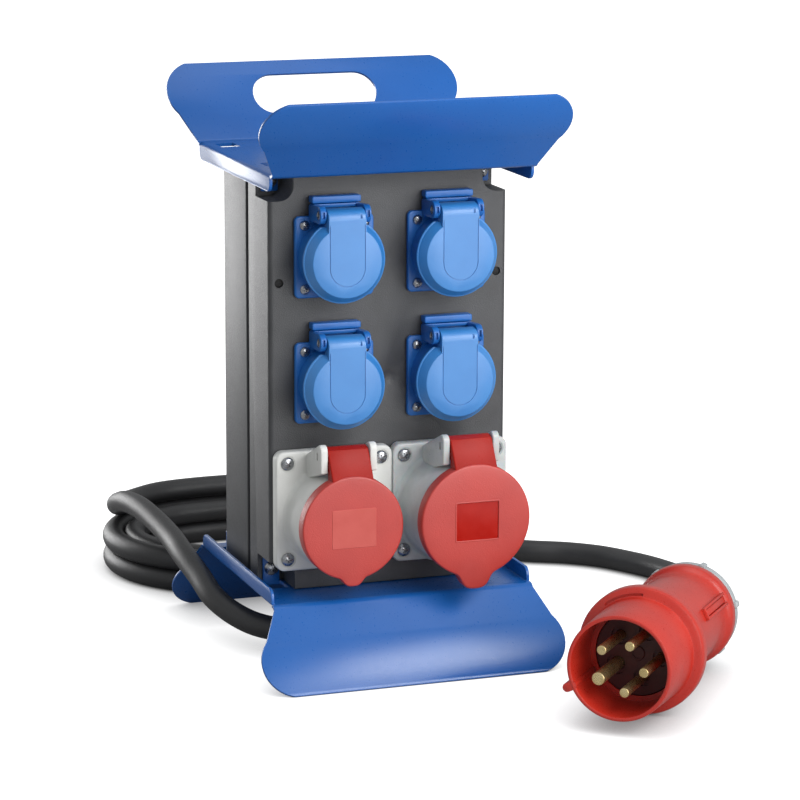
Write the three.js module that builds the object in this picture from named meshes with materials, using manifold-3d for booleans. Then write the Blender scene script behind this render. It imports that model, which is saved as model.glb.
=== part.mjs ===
// Portable power distribution box: a black two-part enclosure held between two bent sheet-steel
// frames, with four single-phase outlets, two three-phase sockets, and a rubber lead with its plug.
// Millimetres, +Z up, front faces -Y, origin on the floor under the middle of the box.
import * as THREE from 'three';
import { mergeVertices } from 'three/addons/utils/BufferGeometryUtils.js';
import Module from 'manifold-3d';

const wasm = await Module();
wasm.setup();

// ---- Driving dimensions ----------------------------------------------------------------------
const GAP = 0.3;                    // clearance between touching pieces

const SHEET = 2;                    // frame sheet thickness
const PLATE_HALF_WIDTH = 84;        // frame plate, half width in X
const BEND_Y = 78;                  // where the flanges bend out of the plate
const BEND_RADIUS = 4;              // at the middle of the sheet
const FLANGE_LEAN = 35;             // degrees from vertical, leaning outwards
const FLANGE_LENGTH = 56.8;         // along the slope, from the bend line
const BASE_FLANGE_LENGTH = 57.5;    // a little longer, and cut level with the floor
const FLANGE_CORNER = { u: 75.8, v: 36, radius: 22 };
const LIP_HEIGHT = 8.5;             // side lips, towards the enclosure
const LIP_HALF_LENGTH = 74;
const HAND_HOLE = { width: 83, height: 28, v: 32.6 };
const BASE_PLATE_TOP = 48.2;
const TOP_PLATE_BOTTOM = 308.1;

const BOX_HALF_WIDTH = 76.5;        // enclosure
const BOX_HALF_DEPTH = 47.5;
const BOX_BOTTOM = BASE_PLATE_TOP + GAP;
const BOX_TOP = TOP_PLATE_BOTTOM - GAP;
const BOX_EDGE = 3;                 // radius of its upright edges
const WALL = 3;
const SEAM = { from: -5.5, to: -1.5, inset: 2 };
const POCKET = { width: 16, height: 18, depth: 26, radius: 9 };
const PORT = { x: 70, z: 240, radius: 2.75 };      // small plugged holes in the front
const DIMPLE = { z: 178, radius: 5.2, depth: 1.2 };

const TAB = { width: 10.4, length: 15.5, frontX: 68.3, rearX: 70.3, slot: 16.5 };
const FRONT_TAB_Y = -BOX_HALF_DEPTH + POCKET.depth - GAP - SHEET;
const REAR_TAB_Y = BOX_HALF_DEPTH + GAP;
const FRAME_SCREW = { head: 4.6, dome: 3, shank: 2.2, length: 9 };

const OUTLET = {
  x: 36, upperZ: 255.6, lowerZ: 178.3, flange: 25, corner: 3, thick: 3.5,
  collar: 23, bore: 21.7, collarLength: 16.7, tube: 14,
  lidRear: 26, lidFront: 21.25, lidBack: 17, lidFace: 25,
  armHalf: 11.75, pinZ: 28, pinOut: 17, barrel: 4, pin: 1.5,
  cheekFrom: 12.1, cheekTo: 16, cheekRadius: 6,
};
const SOCKET_Z = 100;
const SOCKET_FLANGE = { half: 37.3, corner: 5, thick: 8, screw: 30 };
const SOCKET_SMALL = {
  x: -37.6, collar: 31, bore: 27.6, post: 21.5, length: 26.7, drop: 4,
  lid: 32, lidThick: 9, armHalf: 13, pinOut: 21, pinZ: 38.5, barrel: 5.5,
  cheekThick: 4.5, cheekOut: 28, cheekTop: 46, cheekLow: 29, tab: 3.5, tabRadius: 9, holes: 3,
};
const SOCKET_LARGE = {
  x: 37.6, collar: 34, bore: 30.6, post: 25, length: 36.7, drop: 3,
  lid: 35, lidThick: 9, armHalf: 13.5, pinOut: 31, pinZ: 42, barrel: 5.5,
  cheekThick: 4.3, cheekOut: 37, cheekTop: 49, cheekLow: 31, tab: 7.5, tabRadius: 7, holes: 3.5,
};
const FLANGE_SCREW = { head: 4.2, dome: 2.4, shank: 2, length: 12 };

const PLUG = {
  mouth: new THREE.Vector3(71.7, -243.2, 40.5), heading: 39.7, dip: 2.2,
  shroud: 31.3, bore: 28.8, shroudLength: 44, ring: 38.4, ringFrom: 44, ringTo: 54,
  barrelFront: 30, barrelRear: 27.5, flare: 31.5, flareFrom: 138, handleEnd: 147,
  nut: 30.5, nutRear: 24, nutFrom: 147, nutEnd: 170, key: 205, keyOut: 5,
  circle: 14.6, earthAngle: 211, pin: 3, earth: 4, pinTip: 1.5, floor: 40,
};
const CORD_RADIUS = 7.5;
const CORD_REST = 7.9;              // height of its centre where it lies on the floor
const HANK = { left: -32, right: 55, y: 198, outer: 84.5, inner: 53.5, height: 43 };
const GLAND = { x: 34, y: -31, z: 22, shank: 12.2, body: 13, nut: 14.5, outlet: 14, nutEnd: 4 };

const COLOUR = {
  blue: [0x1c5fae, 0.35, 0.1], outletBlue: [0x2a76c8, 0.4, 0], black: [0x2b2b2d, 0.55, 0],
  rubber: [0x1c1c1c, 0.75, 0], grey: [0xc9ccca, 0.5, 0], smoke: [0x9fa6a6, 0.35, 0],
  red: [0xc8372b, 0.35, 0], steel: [0xc4c6c8, 0.25, 1], brass: [0xd8c48a, 0.3, 1],
  darkRed: [0x5a1512, 0.5, 0], green: [0x3f6a4a, 0.6, 0],
};

// ---- Shape helpers ---------------------------------------------------------------------------
function solid(geometry) {
  const plain = geometry.clone();
  for (const name of Object.keys(plain.attributes)) {
    if (name !== 'position') plain.deleteAttribute(name);
  }
  const merged = mergeVertices(plain, 1e-3);
  return new wasm.Manifold(new wasm.Mesh({
    numProp: 3,
    vertProperties: new Float32Array(merged.attributes.position.array),
    triVerts: new Uint32Array(merged.index.array),
  }));
}

function geometryOf(manifold) {
  const mesh = manifold.getMesh();
  const geometry = new THREE.BufferGeometry();
  geometry.setAttribute('position', new THREE.BufferAttribute(new Float32Array(mesh.vertProperties), 3));
  geometry.setIndex(new THREE.BufferAttribute(new Uint32Array(mesh.triVerts), 1));
  geometry.computeVertexNormals();
  return geometry;
}

function box(x, y, z) {
  const geometry = new THREE.BoxGeometry(x[1] - x[0], y[1] - y[0], z[1] - z[0]);
  geometry.translate((x[0] + x[1]) / 2, (y[0] + y[1]) / 2, (z[0] + z[1]) / 2);
  return solid(geometry);
}

// A round bar from one end to the other along X, Y or Z, about the point [x, y, z].
function bar(axis, radius, from, to, centre, sides = 20, endRadius = radius) {
  const geometry = new THREE.CylinderGeometry(endRadius, radius, to - from, sides);
  if (axis === 'x') geometry.rotateZ(-Math.PI / 2);
  if (axis === 'z') geometry.rotateX(Math.PI / 2);
  const middle = (from + to) / 2;
  const at = { x: [middle, centre[1], centre[2]], y: [centre[0], middle, centre[2]],
    z: [centre[0], centre[1], middle] }[axis];
  geometry.translate(...at);
  return solid(geometry);
}

// A square or rectangular plate with rounded corners in X and Z, standing across Y.
function roundedSlab(halfX, halfZ, radius, y, centre) {
  const shape = roundedRectangle(halfX, halfZ, radius);
  const geometry = new THREE.ExtrudeGeometry(shape, { depth: y[1] - y[0], bevelEnabled: false, curveSegments: 3 });
  geometry.rotateX(Math.PI / 2);
  geometry.translate(centre[0], y[1], centre[1]);
  return solid(geometry);
}

function roundedRectangle(halfX, halfY, radius) {
  const shape = new THREE.Shape();
  shape.moveTo(-halfX + radius, -halfY);
  shape.lineTo(halfX - radius, -halfY);
  shape.absarc(halfX - radius, -halfY + radius, radius, -Math.PI / 2, 0);
  shape.lineTo(halfX, halfY - radius);
  shape.absarc(halfX - radius, halfY - radius, radius, 0, Math.PI / 2);
  shape.lineTo(-halfX + radius, halfY);
  shape.absarc(-halfX + radius, halfY - radius, radius, Math.PI / 2, Math.PI);
  shape.lineTo(-halfX, -halfY + radius);
  shape.absarc(-halfX + radius, -halfY + radius, radius, Math.PI, Math.PI * 1.5);
  return shape;
}

// A profile drawn in Y and Z, extruded along X.
function acrossX(shape, x, curveSegments = 4) {
  const geometry = new THREE.ExtrudeGeometry(shape, { depth: x[1] - x[0], bevelEnabled: false, curveSegments });
  geometry.rotateX(Math.PI / 2);
  geometry.rotateZ(Math.PI / 2);
  geometry.translate(x[0], 0, 0);
  return solid(geometry);
}

function polygon(points) {
  return new THREE.Shape(points.map(([a, b]) => new THREE.Vector2(a, b)));
}

// A turned piece: its profile gives radius against distance along +Y.
function turned(points, centre, sides = 28) {
  const geometry = new THREE.LatheGeometry(points.map(([r, y]) => new THREE.Vector2(r, y)), sides);
  geometry.translate(...centre);
  return solid(geometry);
}

const assembly = new THREE.Group();

function add(name, manifold, [colour, roughness, metalness], parent = assembly) {
  const material = new THREE.MeshStandardMaterial({ color: colour, roughness, metalness });
  const mesh = new THREE.Mesh(geometryOf(manifold), material);
  mesh.name = name;
  parent.add(mesh);
  return mesh;
}

// ---- Bent sheet frames -----------------------------------------------------------------------
// Drawn with the enclosure below Z 0 and the flanges rising; the base is the same part mirrored.
function bentStrip() {
  const lean = THREE.MathUtils.degToRad(FLANGE_LEAN);
  const turn = Math.PI / 2 - lean;
  const run = BEND_RADIUS * Math.tan(turn / 2);
  const half = SHEET / 2;
  const inner = BEND_RADIUS - half;
  const outer = BEND_RADIUS + half;
  const flat = BEND_Y - run;
  const axisZ = half + BEND_RADIUS;
  const reach = 1;
  const end = [Math.sin(lean) * reach, Math.cos(lean) * reach];
  const shape = new THREE.Shape();
  shape.moveTo(-flat, 0);
  shape.lineTo(flat, 0);
  shape.absarc(flat, axisZ, outer, -Math.PI / 2, -Math.PI / 2 + turn);
  shape.lineTo(shape.currentPoint.x + end[0], shape.currentPoint.y + end[1]);
  shape.lineTo(shape.currentPoint.x - Math.cos(lean) * SHEET, shape.currentPoint.y + Math.sin(lean) * SHEET);
  shape.lineTo(flat + Math.sin(turn) * inner, axisZ - Math.cos(turn) * inner);
  shape.absarc(flat, axisZ, inner, -Math.PI / 2 + turn, -Math.PI / 2, true);
  shape.lineTo(-flat, SHEET);
  shape.absarc(-flat, axisZ, inner, -Math.PI / 2, -Math.PI / 2 - turn, true);
  shape.lineTo(shape.currentPoint.x - end[0], shape.currentPoint.y + end[1]);
  shape.lineTo(shape.currentPoint.x - Math.cos(lean) * SHEET, shape.currentPoint.y - Math.sin(lean) * SHEET);
  shape.lineTo(-flat - Math.sin(turn) * outer, axisZ - Math.cos(turn) * outer);
  shape.absarc(-flat, axisZ, outer, -Math.PI / 2 - turn, -Math.PI / 2);
  return acrossX(shape, [-PLATE_HALF_WIDTH, PLATE_HALF_WIDTH], 4);
}

// The flange outline: it flares from the bend to two round corners.
function flange(side, length, handHole) {
  const lean = THREE.MathUtils.degToRad(FLANGE_LEAN);
  const { u, v, radius } = FLANGE_CORNER;
  const start = BEND_RADIUS * Math.tan((Math.PI / 2 - lean) / 2) + 0.3;
  const toCorner = new THREE.Vector2(u - PLATE_HALF_WIDTH, v);
  const tangent = Math.PI - (toCorner.angle() + Math.asin(radius / toCorner.length())) + Math.PI / 2;
  const shape = new THREE.Shape();
  shape.moveTo(-PLATE_HALF_WIDTH, start);
  shape.lineTo(PLATE_HALF_WIDTH, start);
  const edge = Math.asin((length - v) / radius);
  const leave = Math.PI / 2 - tangent;
  shape.absarc(u, v, radius, leave, edge);
  shape.absarc(-u, v, radius, Math.PI - edge, Math.PI - leave);
  if (handHole) {
    const r = HAND_HOLE.height / 2;
    const half = HAND_HOLE.width / 2 - r;
    const hole = new THREE.Path();
    hole.absarc(half, HAND_HOLE.v, r, -Math.PI / 2, Math.PI / 2);
    hole.absarc(-half, HAND_HOLE.v, r, Math.PI / 2, Math.PI * 1.5);
    shape.holes.push(hole);
  }
  const geometry = new THREE.ExtrudeGeometry(shape, { depth: SHEET, bevelEnabled: false, curveSegments: 6 });
  geometry.translate(0, 0, -SHEET / 2);
  geometry.rotateX(Math.PI / 2 - lean);
  geometry.translate(0, BEND_Y, SHEET / 2);
  if (side < 0) geometry.rotateZ(Math.PI);
  return solid(geometry);
}

function frame(flangeLength, handHole, gland) {
  let piece = bentStrip().add(flange(1, flangeLength, handHole)).add(flange(-1, flangeLength, false));
  const lipCorner = 6;
  for (const side of [-1, 1]) {
    const lip = new THREE.Shape();
    lip.moveTo(-LIP_HALF_LENGTH, 1);
    lip.absarc(-LIP_HALF_LENGTH + lipCorner, -LIP_HEIGHT + lipCorner, lipCorner, Math.PI, Math.PI * 1.5);
    lip.absarc(LIP_HALF_LENGTH - lipCorner, -LIP_HEIGHT + lipCorner, lipCorner, -Math.PI / 2, 0);
    lip.lineTo(LIP_HALF_LENGTH, 1);
    const outer = side * PLATE_HALF_WIDTH;
    const inner = outer - side * SHEET;
    piece = piece.add(acrossX(lip, [Math.min(inner, outer), Math.max(inner, outer)], 4));
    for (const [x, tabY, slotY] of [
      [TAB.frontX, FRONT_TAB_Y, [FRONT_TAB_Y - TAB.slot, FRONT_TAB_Y]],
      [TAB.rearX, REAR_TAB_Y, [REAR_TAB_Y + SHEET, REAR_TAB_Y + SHEET + TAB.slot]],
    ]) {
      const acrossTab = [side * x - TAB.width / 2, side * x + TAB.width / 2];
      piece = piece.subtract(box([acrossTab[0] - 1, acrossTab[1] + 1], slotY, [-1, SHEET + 1]));
      const hole = bar('y', FRAME_SCREW.shank + GAP, tabY - 1, tabY + SHEET + 1, [side * x, 0, -TAB.length / 2 - 1], 8);
      piece = piece.add(box(acrossTab, [tabY, tabY + SHEET], [-TAB.length, 1]).subtract(hole));
    }
  }
  if (gland) {
    piece = piece.subtract(bar('z', GLAND.shank + GAP, -1, SHEET + 1, [GLAND.x, GLAND.y, 0]));
  }
  return piece;
}

const topFrame = add('top_frame', frame(FLANGE_LENGTH, true, false), COLOUR.blue);
topFrame.position.z = TOP_PLATE_BOTTOM;

// The base stands on the ends of its flanges, which are cut level with the floor.
function baseFrame() {
  const blank = frame(BASE_FLANGE_LENGTH, false, true).subtract(
    box([-120, 120], [-140, 140], [BASE_PLATE_TOP, BASE_PLATE_TOP + 20]));
  const geometry = geometryOf(blank);
  geometry.scale(1, 1, -1);
  const index = geometry.index.array;
  for (let i = 0; i < index.length; i += 3) [index[i], index[i + 1]] = [index[i + 1], index[i]];
  return solid(geometry);
}
const bottomFrame = add('bottom_frame', baseFrame(), COLOUR.blue);
bottomFrame.position.z = BASE_PLATE_TOP;

// ---- Screws ----------------------------------------------------------------------------------
// Pan head facing -Y, its seat at the origin.
function panScrew({ head, dome, shank, length }) {
  return turned([[0, -dome], [head * 0.55, -dome * 0.9], [head * 0.9, -dome * 0.5], [head, 0],
    [shank, 0], [shank, length], [0, length]], [0, 0, 0], 8);
}

const frameScrew = panScrew(FRAME_SCREW);
for (const [level, tabZ] of [
  ['top', TOP_PLATE_BOTTOM - TAB.length / 2 - 1],
  ['bottom', BASE_PLATE_TOP + TAB.length / 2 + 1],
]) {
  for (const side of [-1, 1]) {
    const hand = side < 0 ? 'left' : 'right';
    const front = add(`frame_screw_${level}_front_${hand}`, frameScrew, COLOUR.steel);
    front.position.set(side * TAB.frontX, FRONT_TAB_Y - GAP, tabZ);
    const rear = add(`frame_screw_${level}_rear_${hand}`, frameScrew, COLOUR.steel);
    rear.rotation.z = Math.PI;
    rear.position.set(side * TAB.rearX, REAR_TAB_Y + SHEET + GAP, tabZ);
  }
}

// ---- Enclosure -------------------------------------------------------------------------------
const boxMiddle = (BOX_BOTTOM + BOX_TOP) / 2;
const boxHalfHeight = (BOX_TOP - BOX_BOTTOM) / 2;
const screwLevels = [BOX_BOTTOM - GAP + TAB.length / 2 + 1, BOX_TOP + GAP - TAB.length / 2 - 1];

function block(halfX, y, inset = 0) {
  return box([-halfX + inset, halfX - inset], y, [BOX_BOTTOM + inset, BOX_TOP - inset]);
}

// Four rounded corner notches of the front shell, grown by the wall when they shape its inside.
function pockets(grow) {
  let all = null;
  for (const sideX of [-1, 1]) {
    for (const sideZ of [-1, 1]) {
      const innerX = sideX * (BOX_HALF_WIDTH - POCKET.width - grow);
      const innerZ = boxMiddle + sideZ * (boxHalfHeight - POCKET.height - grow);
      const outerX = sideX * (BOX_HALF_WIDTH + 5);
      const outerZ = boxMiddle + sideZ * (boxHalfHeight + 5);
      const shape = roundedRectangle(Math.abs(outerX - innerX) / 2, Math.abs(outerZ - innerZ) / 2, POCKET.radius);
      const depth = POCKET.depth + grow;
      const geometry = new THREE.ExtrudeGeometry(shape, { depth: depth + 1, bevelEnabled: false, curveSegments: 3 });
      geometry.rotateX(Math.PI / 2);
      geometry.translate((innerX + outerX) / 2, -BOX_HALF_DEPTH + depth, (innerZ + outerZ) / 2);
      const corner = solid(geometry).add(box(
        [Math.min(outerX, outerX - sideX * 9), Math.max(outerX, outerX - sideX * 9)],
        [-BOX_HALF_DEPTH - 1, -BOX_HALF_DEPTH + depth],
        [Math.min(outerZ, innerZ), Math.max(outerZ, innerZ)])).add(box(
        [Math.min(outerX, innerX), Math.max(outerX, innerX)],
        [-BOX_HALF_DEPTH - 1, -BOX_HALF_DEPTH + depth],
        [Math.min(outerZ, outerZ - sideZ * 9), Math.max(outerZ, outerZ - sideZ * 9)]));
      all = all ? all.add(corner) : corner;
    }
  }
  return all;
}

function frontShell() {
  const outer = roundedBlock([-BOX_HALF_DEPTH, SEAM.from - GAP], -1);
  const hollow = box([-BOX_HALF_WIDTH + WALL, BOX_HALF_WIDTH - WALL], [-BOX_HALF_DEPTH + WALL, 0],
    [BOX_BOTTOM + WALL, BOX_TOP - WALL]).subtract(pockets(WALL));
  let shell = outer.subtract(pockets(0)).subtract(hollow);
  for (const z of [OUTLET.upperZ, OUTLET.lowerZ]) {
    for (const side of [-1, 1]) {
      shell = shell.subtract(bar('y', OUTLET.collar + 2 * GAP, -60, -40, [side * OUTLET.x, 0, z], 24));
    }
  }
  for (const socket of [SOCKET_SMALL, SOCKET_LARGE]) {
    const centre = [socket.x, 0, SOCKET_Z - socket.drop];
    shell = shell.subtract(bar('y', socket.bore + 2 + 2 * GAP, -60, -40, centre, 28));
    for (const [x, z] of flangeScrewPlaces(socket)) {
      shell = shell.subtract(bar('y', FLANGE_SCREW.shank + GAP, -60, -40, [x, 0, z], 8));
    }
  }
  for (const side of [-1, 1]) {
    shell = shell.subtract(bar('y', PORT.radius, -60, -40, [side * PORT.x, 0, PORT.z], 12));
    for (const z of screwLevels) {
      shell = shell.subtract(bar('y', FRAME_SCREW.shank + GAP, -30, -10, [side * TAB.frontX, 0, z], 8));
    }
  }
  const dimple = bar('y', DIMPLE.radius, -60, -BOX_HALF_DEPTH + DIMPLE.depth, [0, 0, DIMPLE.z], 12);
  const glandHole = bar('z', GLAND.shank + GAP, BOX_BOTTOM - 5, BOX_BOTTOM + 10, [GLAND.x, GLAND.y, 0]);
  return shell.subtract(dimple).subtract(glandHole);
}

// The enclosure's outside, with rounded upright edges at its front or back face.
function roundedBlock(y, end) {
  const near = end < 0 ? y[0] : y[1];
  const far = end < 0 ? y[1] : y[0];
  const shape = new THREE.Shape();
  const start = end < 0 ? Math.PI * 1.5 : Math.PI / 2;
  shape.moveTo(BOX_HALF_WIDTH, far);
  shape.absarc(BOX_HALF_WIDTH - BOX_EDGE, near - end * BOX_EDGE, BOX_EDGE, 0, end * Math.PI / 2, end < 0);
  shape.absarc(-BOX_HALF_WIDTH + BOX_EDGE, near - end * BOX_EDGE, BOX_EDGE, start, Math.PI, end < 0);
  shape.lineTo(-BOX_HALF_WIDTH, far);
  const geometry = new THREE.ExtrudeGeometry(shape, { depth: BOX_TOP - BOX_BOTTOM, bevelEnabled: false, curveSegments: 3 });
  geometry.translate(0, 0, BOX_BOTTOM);
  return solid(geometry);
}

function rearShell() {
  const outer = roundedBlock([SEAM.to + GAP, BOX_HALF_DEPTH], 1);
  const hollow = box([-BOX_HALF_WIDTH + WALL, BOX_HALF_WIDTH - WALL], [-10, BOX_HALF_DEPTH - WALL],
    [BOX_BOTTOM + WALL, BOX_TOP - WALL]);
  let shell = outer.subtract(hollow);
  for (const side of [-1, 1]) {
    for (const z of screwLevels) {
      shell = shell.subtract(bar('y', FRAME_SCREW.shank + GAP, 30, 60, [side * TAB.rearX, 0, z], 8));
    }
  }
  return shell;
}

add('front_shell', frontShell(), COLOUR.black);
add('rear_shell', rearShell(), COLOUR.black);
add('shell_seal', block(BOX_HALF_WIDTH, [SEAM.from, SEAM.to], SEAM.inset)
  .subtract(block(BOX_HALF_WIDTH, [SEAM.from - 1, SEAM.to + 1], WALL + 2)), COLOUR.rubber);
add('terminal_block', box([-50, 50], [18, BOX_HALF_DEPTH - WALL - GAP], [205, 240]), COLOUR.green);

// ---- Single-phase outlets --------------------------------------------------------------------
const outletFace = -BOX_HALF_DEPTH - GAP - OUTLET.thick;     // front of the flange

function outletHousing() {
  const o = OUTLET;
  const face = outletFace;
  const plate = roundedSlab(o.flange, o.flange, o.corner, [face, -BOX_HALF_DEPTH - GAP], [0, 0]);
  const collar = bar('y', o.collar, face - o.collarLength, -BOX_HALF_DEPTH + o.tube, [0, 0, 0], 24);
  const bore = bar('y', o.bore, face - 40, 0, [0, 0, 0], 24);
  let housing = plate.add(collar);
  const back = polygon([[face + 1, 20], [face - 3.5, 20], [face - 3.5, 37.3], [face + o.thick, 37.3],
    [face + o.thick, 24], [face + 1, 24]]);
  housing = housing.add(acrossX(back, [-o.cheekTo, o.cheekTo]));
  for (const side of [-1, 1]) {
    const cheek = new THREE.Shape();
    cheek.moveTo(face + 1, 20);
    cheek.lineTo(face - o.pinOut, o.pinZ - o.cheekRadius);
    cheek.absarc(face - o.pinOut, o.pinZ, o.cheekRadius, -Math.PI / 2, -Math.PI * 1.5, true);
    cheek.lineTo(face + 1, 36);
    const x = side < 0 ? [-o.cheekTo, -o.cheekFrom] : [o.cheekFrom, o.cheekTo];
    housing = housing.add(acrossX(cheek, x, 6));
  }
  const pinHole = bar('x', o.pin + GAP, -30, 30, [0, face - o.pinOut, o.pinZ], 8);
  return housing.subtract(bore).subtract(pinHole);
}

function outletInsert() {
  const o = OUTLET;
  const rim = outletFace - 15.7;
  const floor = rim + 17.5;
  const wall = 1.6;
  const cup = bar('y', o.bore - GAP, rim, floor + 8, [0, 0, 0], 24);
  const well = bar('y', o.bore - GAP - wall, rim - 5, floor, [0, 0, 0], 24);
  let insert = cup.subtract(well);
  for (const x of [-9.5, 9.5]) {
    insert = insert.subtract(bar('y', 2.9, floor - 5, floor + 20, [x, 0, 0], 8));
  }
  return insert;
}

function outletLid() {
  const o = OUTLET;
  const face = outletFace;
  const cone = bar('y', o.lidFront, face - o.lidFace, face - o.lidBack, [0, 0, 0], 28, o.lidRear);
  const recess = bar('y', 19, face - o.lidBack - 3, face - o.lidBack + 5, [0, 0, 0]);
  const arm = new THREE.Shape();
  arm.moveTo(face - o.lidFace, 5);
  arm.lineTo(face - o.lidFace, o.pinZ - 2.5);
  arm.absarc(face - o.lidFace + 6, o.pinZ - 2.5, 6, Math.PI, Math.PI / 2, true);
  arm.absarc(face - o.pinOut, o.pinZ, o.barrel, Math.PI / 2, -Math.PI / 2, true);
  arm.lineTo(face - o.lidFace + 4, o.pinZ - 8);
  arm.lineTo(face - o.lidFace + 4, 5);
  const pinHole = bar('x', o.pin + GAP, -30, 30, [0, face - o.pinOut, o.pinZ], 8);
  let lid = cone.subtract(recess);
  for (const side of [-1, 1]) {
    const notch = [o.cheekFrom - GAP, o.cheekTo + GAP].map((x) => side * x).sort((a, b) => a - b);
    lid = lid.subtract(box(notch, [face - 40, face], [o.pinZ - o.cheekRadius - 1, 40]));
  }
  return lid.add(acrossX(arm, [-o.armHalf, o.armHalf])).subtract(pinHole);
}

const housing = outletHousing();
const insert = outletInsert();
const lid = outletLid();
const lidPin = bar('x', OUTLET.pin, -OUTLET.cheekTo, OUTLET.cheekTo, [0, outletFace - OUTLET.pinOut, OUTLET.pinZ], 8);
for (const [row, z] of [['upper', OUTLET.upperZ], ['lower', OUTLET.lowerZ]]) {
  for (const [hand, side] of [['left', -1], ['right', 1]]) {
    const outlet = new THREE.Group();
    outlet.position.set(side * OUTLET.x, 0, z);
    assembly.add(outlet);
    const name = `outlet_${row}_${hand}`;
    add(`${name}_housing`, housing, COLOUR.outletBlue, outlet);
    add(`${name}_insert`, insert, COLOUR.outletBlue, outlet);
    add(`${name}_lid`, lid, COLOUR.outletBlue, outlet);
    add(`${name}_hinge_pin`, lidPin, COLOUR.steel, outlet);
  }
}

// ---- Three-phase sockets ---------------------------------------------------------------------
const socketFace = -BOX_HALF_DEPTH - GAP - SOCKET_FLANGE.thick;

function flangeScrewPlaces(socket) {
  const s = SOCKET_FLANGE.screw;
  return [[socket.x - s, SOCKET_Z + s], [socket.x + s, SOCKET_Z + s],
    [socket.x - s, SOCKET_Z - s], [socket.x + s, SOCKET_Z - s]];
}

function socketHousing(s) {
  const face = socketFace;
  const plate = roundedSlab(SOCKET_FLANGE.half, SOCKET_FLANGE.half, SOCKET_FLANGE.corner,
    [face, -BOX_HALF_DEPTH - GAP], [0, 0]);
  const collar = bar('y', s.collar, face - s.length, face + 1, [0, 0, -s.drop], 28);
  const tube = bar('y', s.bore + 2, face, -BOX_HALF_DEPTH + 24, [0, 0, -s.drop], 28);
  const bore = bar('y', s.bore, face - 60, -BOX_HALF_DEPTH + 30, [0, 0, -s.drop], 28);
  let housing = plate.add(collar).add(tube);
  const cheek = new THREE.Shape();
  cheek.moveTo(face + 1, 18);
  cheek.lineTo(face - s.cheekOut, s.cheekLow);
  cheek.lineTo(face - s.cheekOut, s.cheekTop - 4);
  cheek.absarc(face - s.cheekOut + 4, s.cheekTop - 4, 4, Math.PI, Math.PI / 2, true);
  cheek.lineTo(face + 1, SOCKET_FLANGE.half);
  const inner = s.armHalf + 0.4;
  for (const x of [[-inner - s.cheekThick, -inner], [inner, inner + s.cheekThick]]) {
    housing = housing.add(acrossX(cheek, x, 4));
  }
  housing = housing.subtract(bore);
  housing = housing.subtract(bar('x', 1.8, -40, 40, [0, face - s.pinOut, s.pinZ], 8));
  for (const [x, z] of flangeScrewPlaces(s)) {
    housing = housing.subtract(bar('y', FLANGE_SCREW.shank + GAP, -80, -40, [x - s.x, 0, z - SOCKET_Z], 8));
  }
  return housing;
}

function socketInsert(s) {
  const base = bar('y', s.bore - GAP, -BOX_HALF_DEPTH + 15, -BOX_HALF_DEPTH + 23, [0, 0, -s.drop], 28);
  const post = bar('y', s.post, socketFace - s.length + 8, -BOX_HALF_DEPTH + 16, [0, 0, -s.drop], 24);
  let insert = base.add(post);
  for (let i = 0; i < 5; i += 1) {
    const angle = -Math.PI / 2 + i * Math.PI * 0.4;
    const circle = s.post * 0.64;
    insert = insert.subtract(bar('y', i ? s.holes : s.holes + 1, -120, -BOX_HALF_DEPTH + 5,
      [Math.cos(angle) * circle, 0, Math.sin(angle) * circle - s.drop], 8));
  }
  return insert;
}

function socketLid(s) {
  const back = socketFace - s.length - GAP;
  const front = back - s.lidThick;
  let lid = bar('y', s.lid, front, back, [0, 0, -s.drop], 32);
  const tabZ = -s.drop - s.lid - s.tab + s.tabRadius;
  lid = lid.add(bar('y', s.tabRadius, front, back, [0, 0, tabZ], 16));
  const recess = bar('y', s.collar - 6, back - 4, back + 5, [0, 0, -s.drop], 28);
  const barrelY = socketFace - s.pinOut;
  const arm = new THREE.Shape();
  arm.moveTo(front, s.lid - s.drop - 9);
  arm.lineTo(front, s.lid - s.drop - 2);
  arm.lineTo(barrelY - 5, s.pinZ + s.barrel - 1.5);
  arm.absarc(barrelY, s.pinZ, s.barrel, Math.PI / 2, -Math.PI / 2, true);
  arm.lineTo(back - 1, s.lid - s.drop + 1);
  arm.lineTo(back - 1, s.lid - s.drop - 9);
  lid = lid.subtract(recess).add(acrossX(arm, [-s.armHalf, s.armHalf]));
  return lid.subtract(bar('x', 1.8, -40, 40, [0, barrelY, s.pinZ], 8));
}

const flangeScrew = panScrew(FLANGE_SCREW);
for (const [name, s, colour] of [
  ['socket_16a', SOCKET_SMALL, COLOUR.grey], ['socket_32a', SOCKET_LARGE, COLOUR.smoke],
]) {
  const socket = new THREE.Group();
  socket.position.set(s.x, 0, SOCKET_Z);
  assembly.add(socket);
  add(`${name}_housing`, socketHousing(s), colour, socket);
  add(`${name}_insert`, socketInsert(s), COLOUR.grey, socket);
  add(`${name}_lid`, socketLid(s), COLOUR.red, socket);
  const pinHalf = s.armHalf + s.cheekThick + 0.4;
  add(`${name}_hinge_pin`, bar('x', 1.5, -pinHalf, pinHalf, [0, socketFace - s.pinOut, s.pinZ], 8),
    COLOUR.steel, socket);
  const places = flangeScrewPlaces(s);
  ['top_left', 'top_right', 'bottom_left', 'bottom_right'].forEach((corner, i) => {
    const screw = add(`${name}_screw_${corner}`, flangeScrew, COLOUR.steel);
    screw.position.set(places[i][0], socketFace - GAP, places[i][1]);
  });
}

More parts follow.
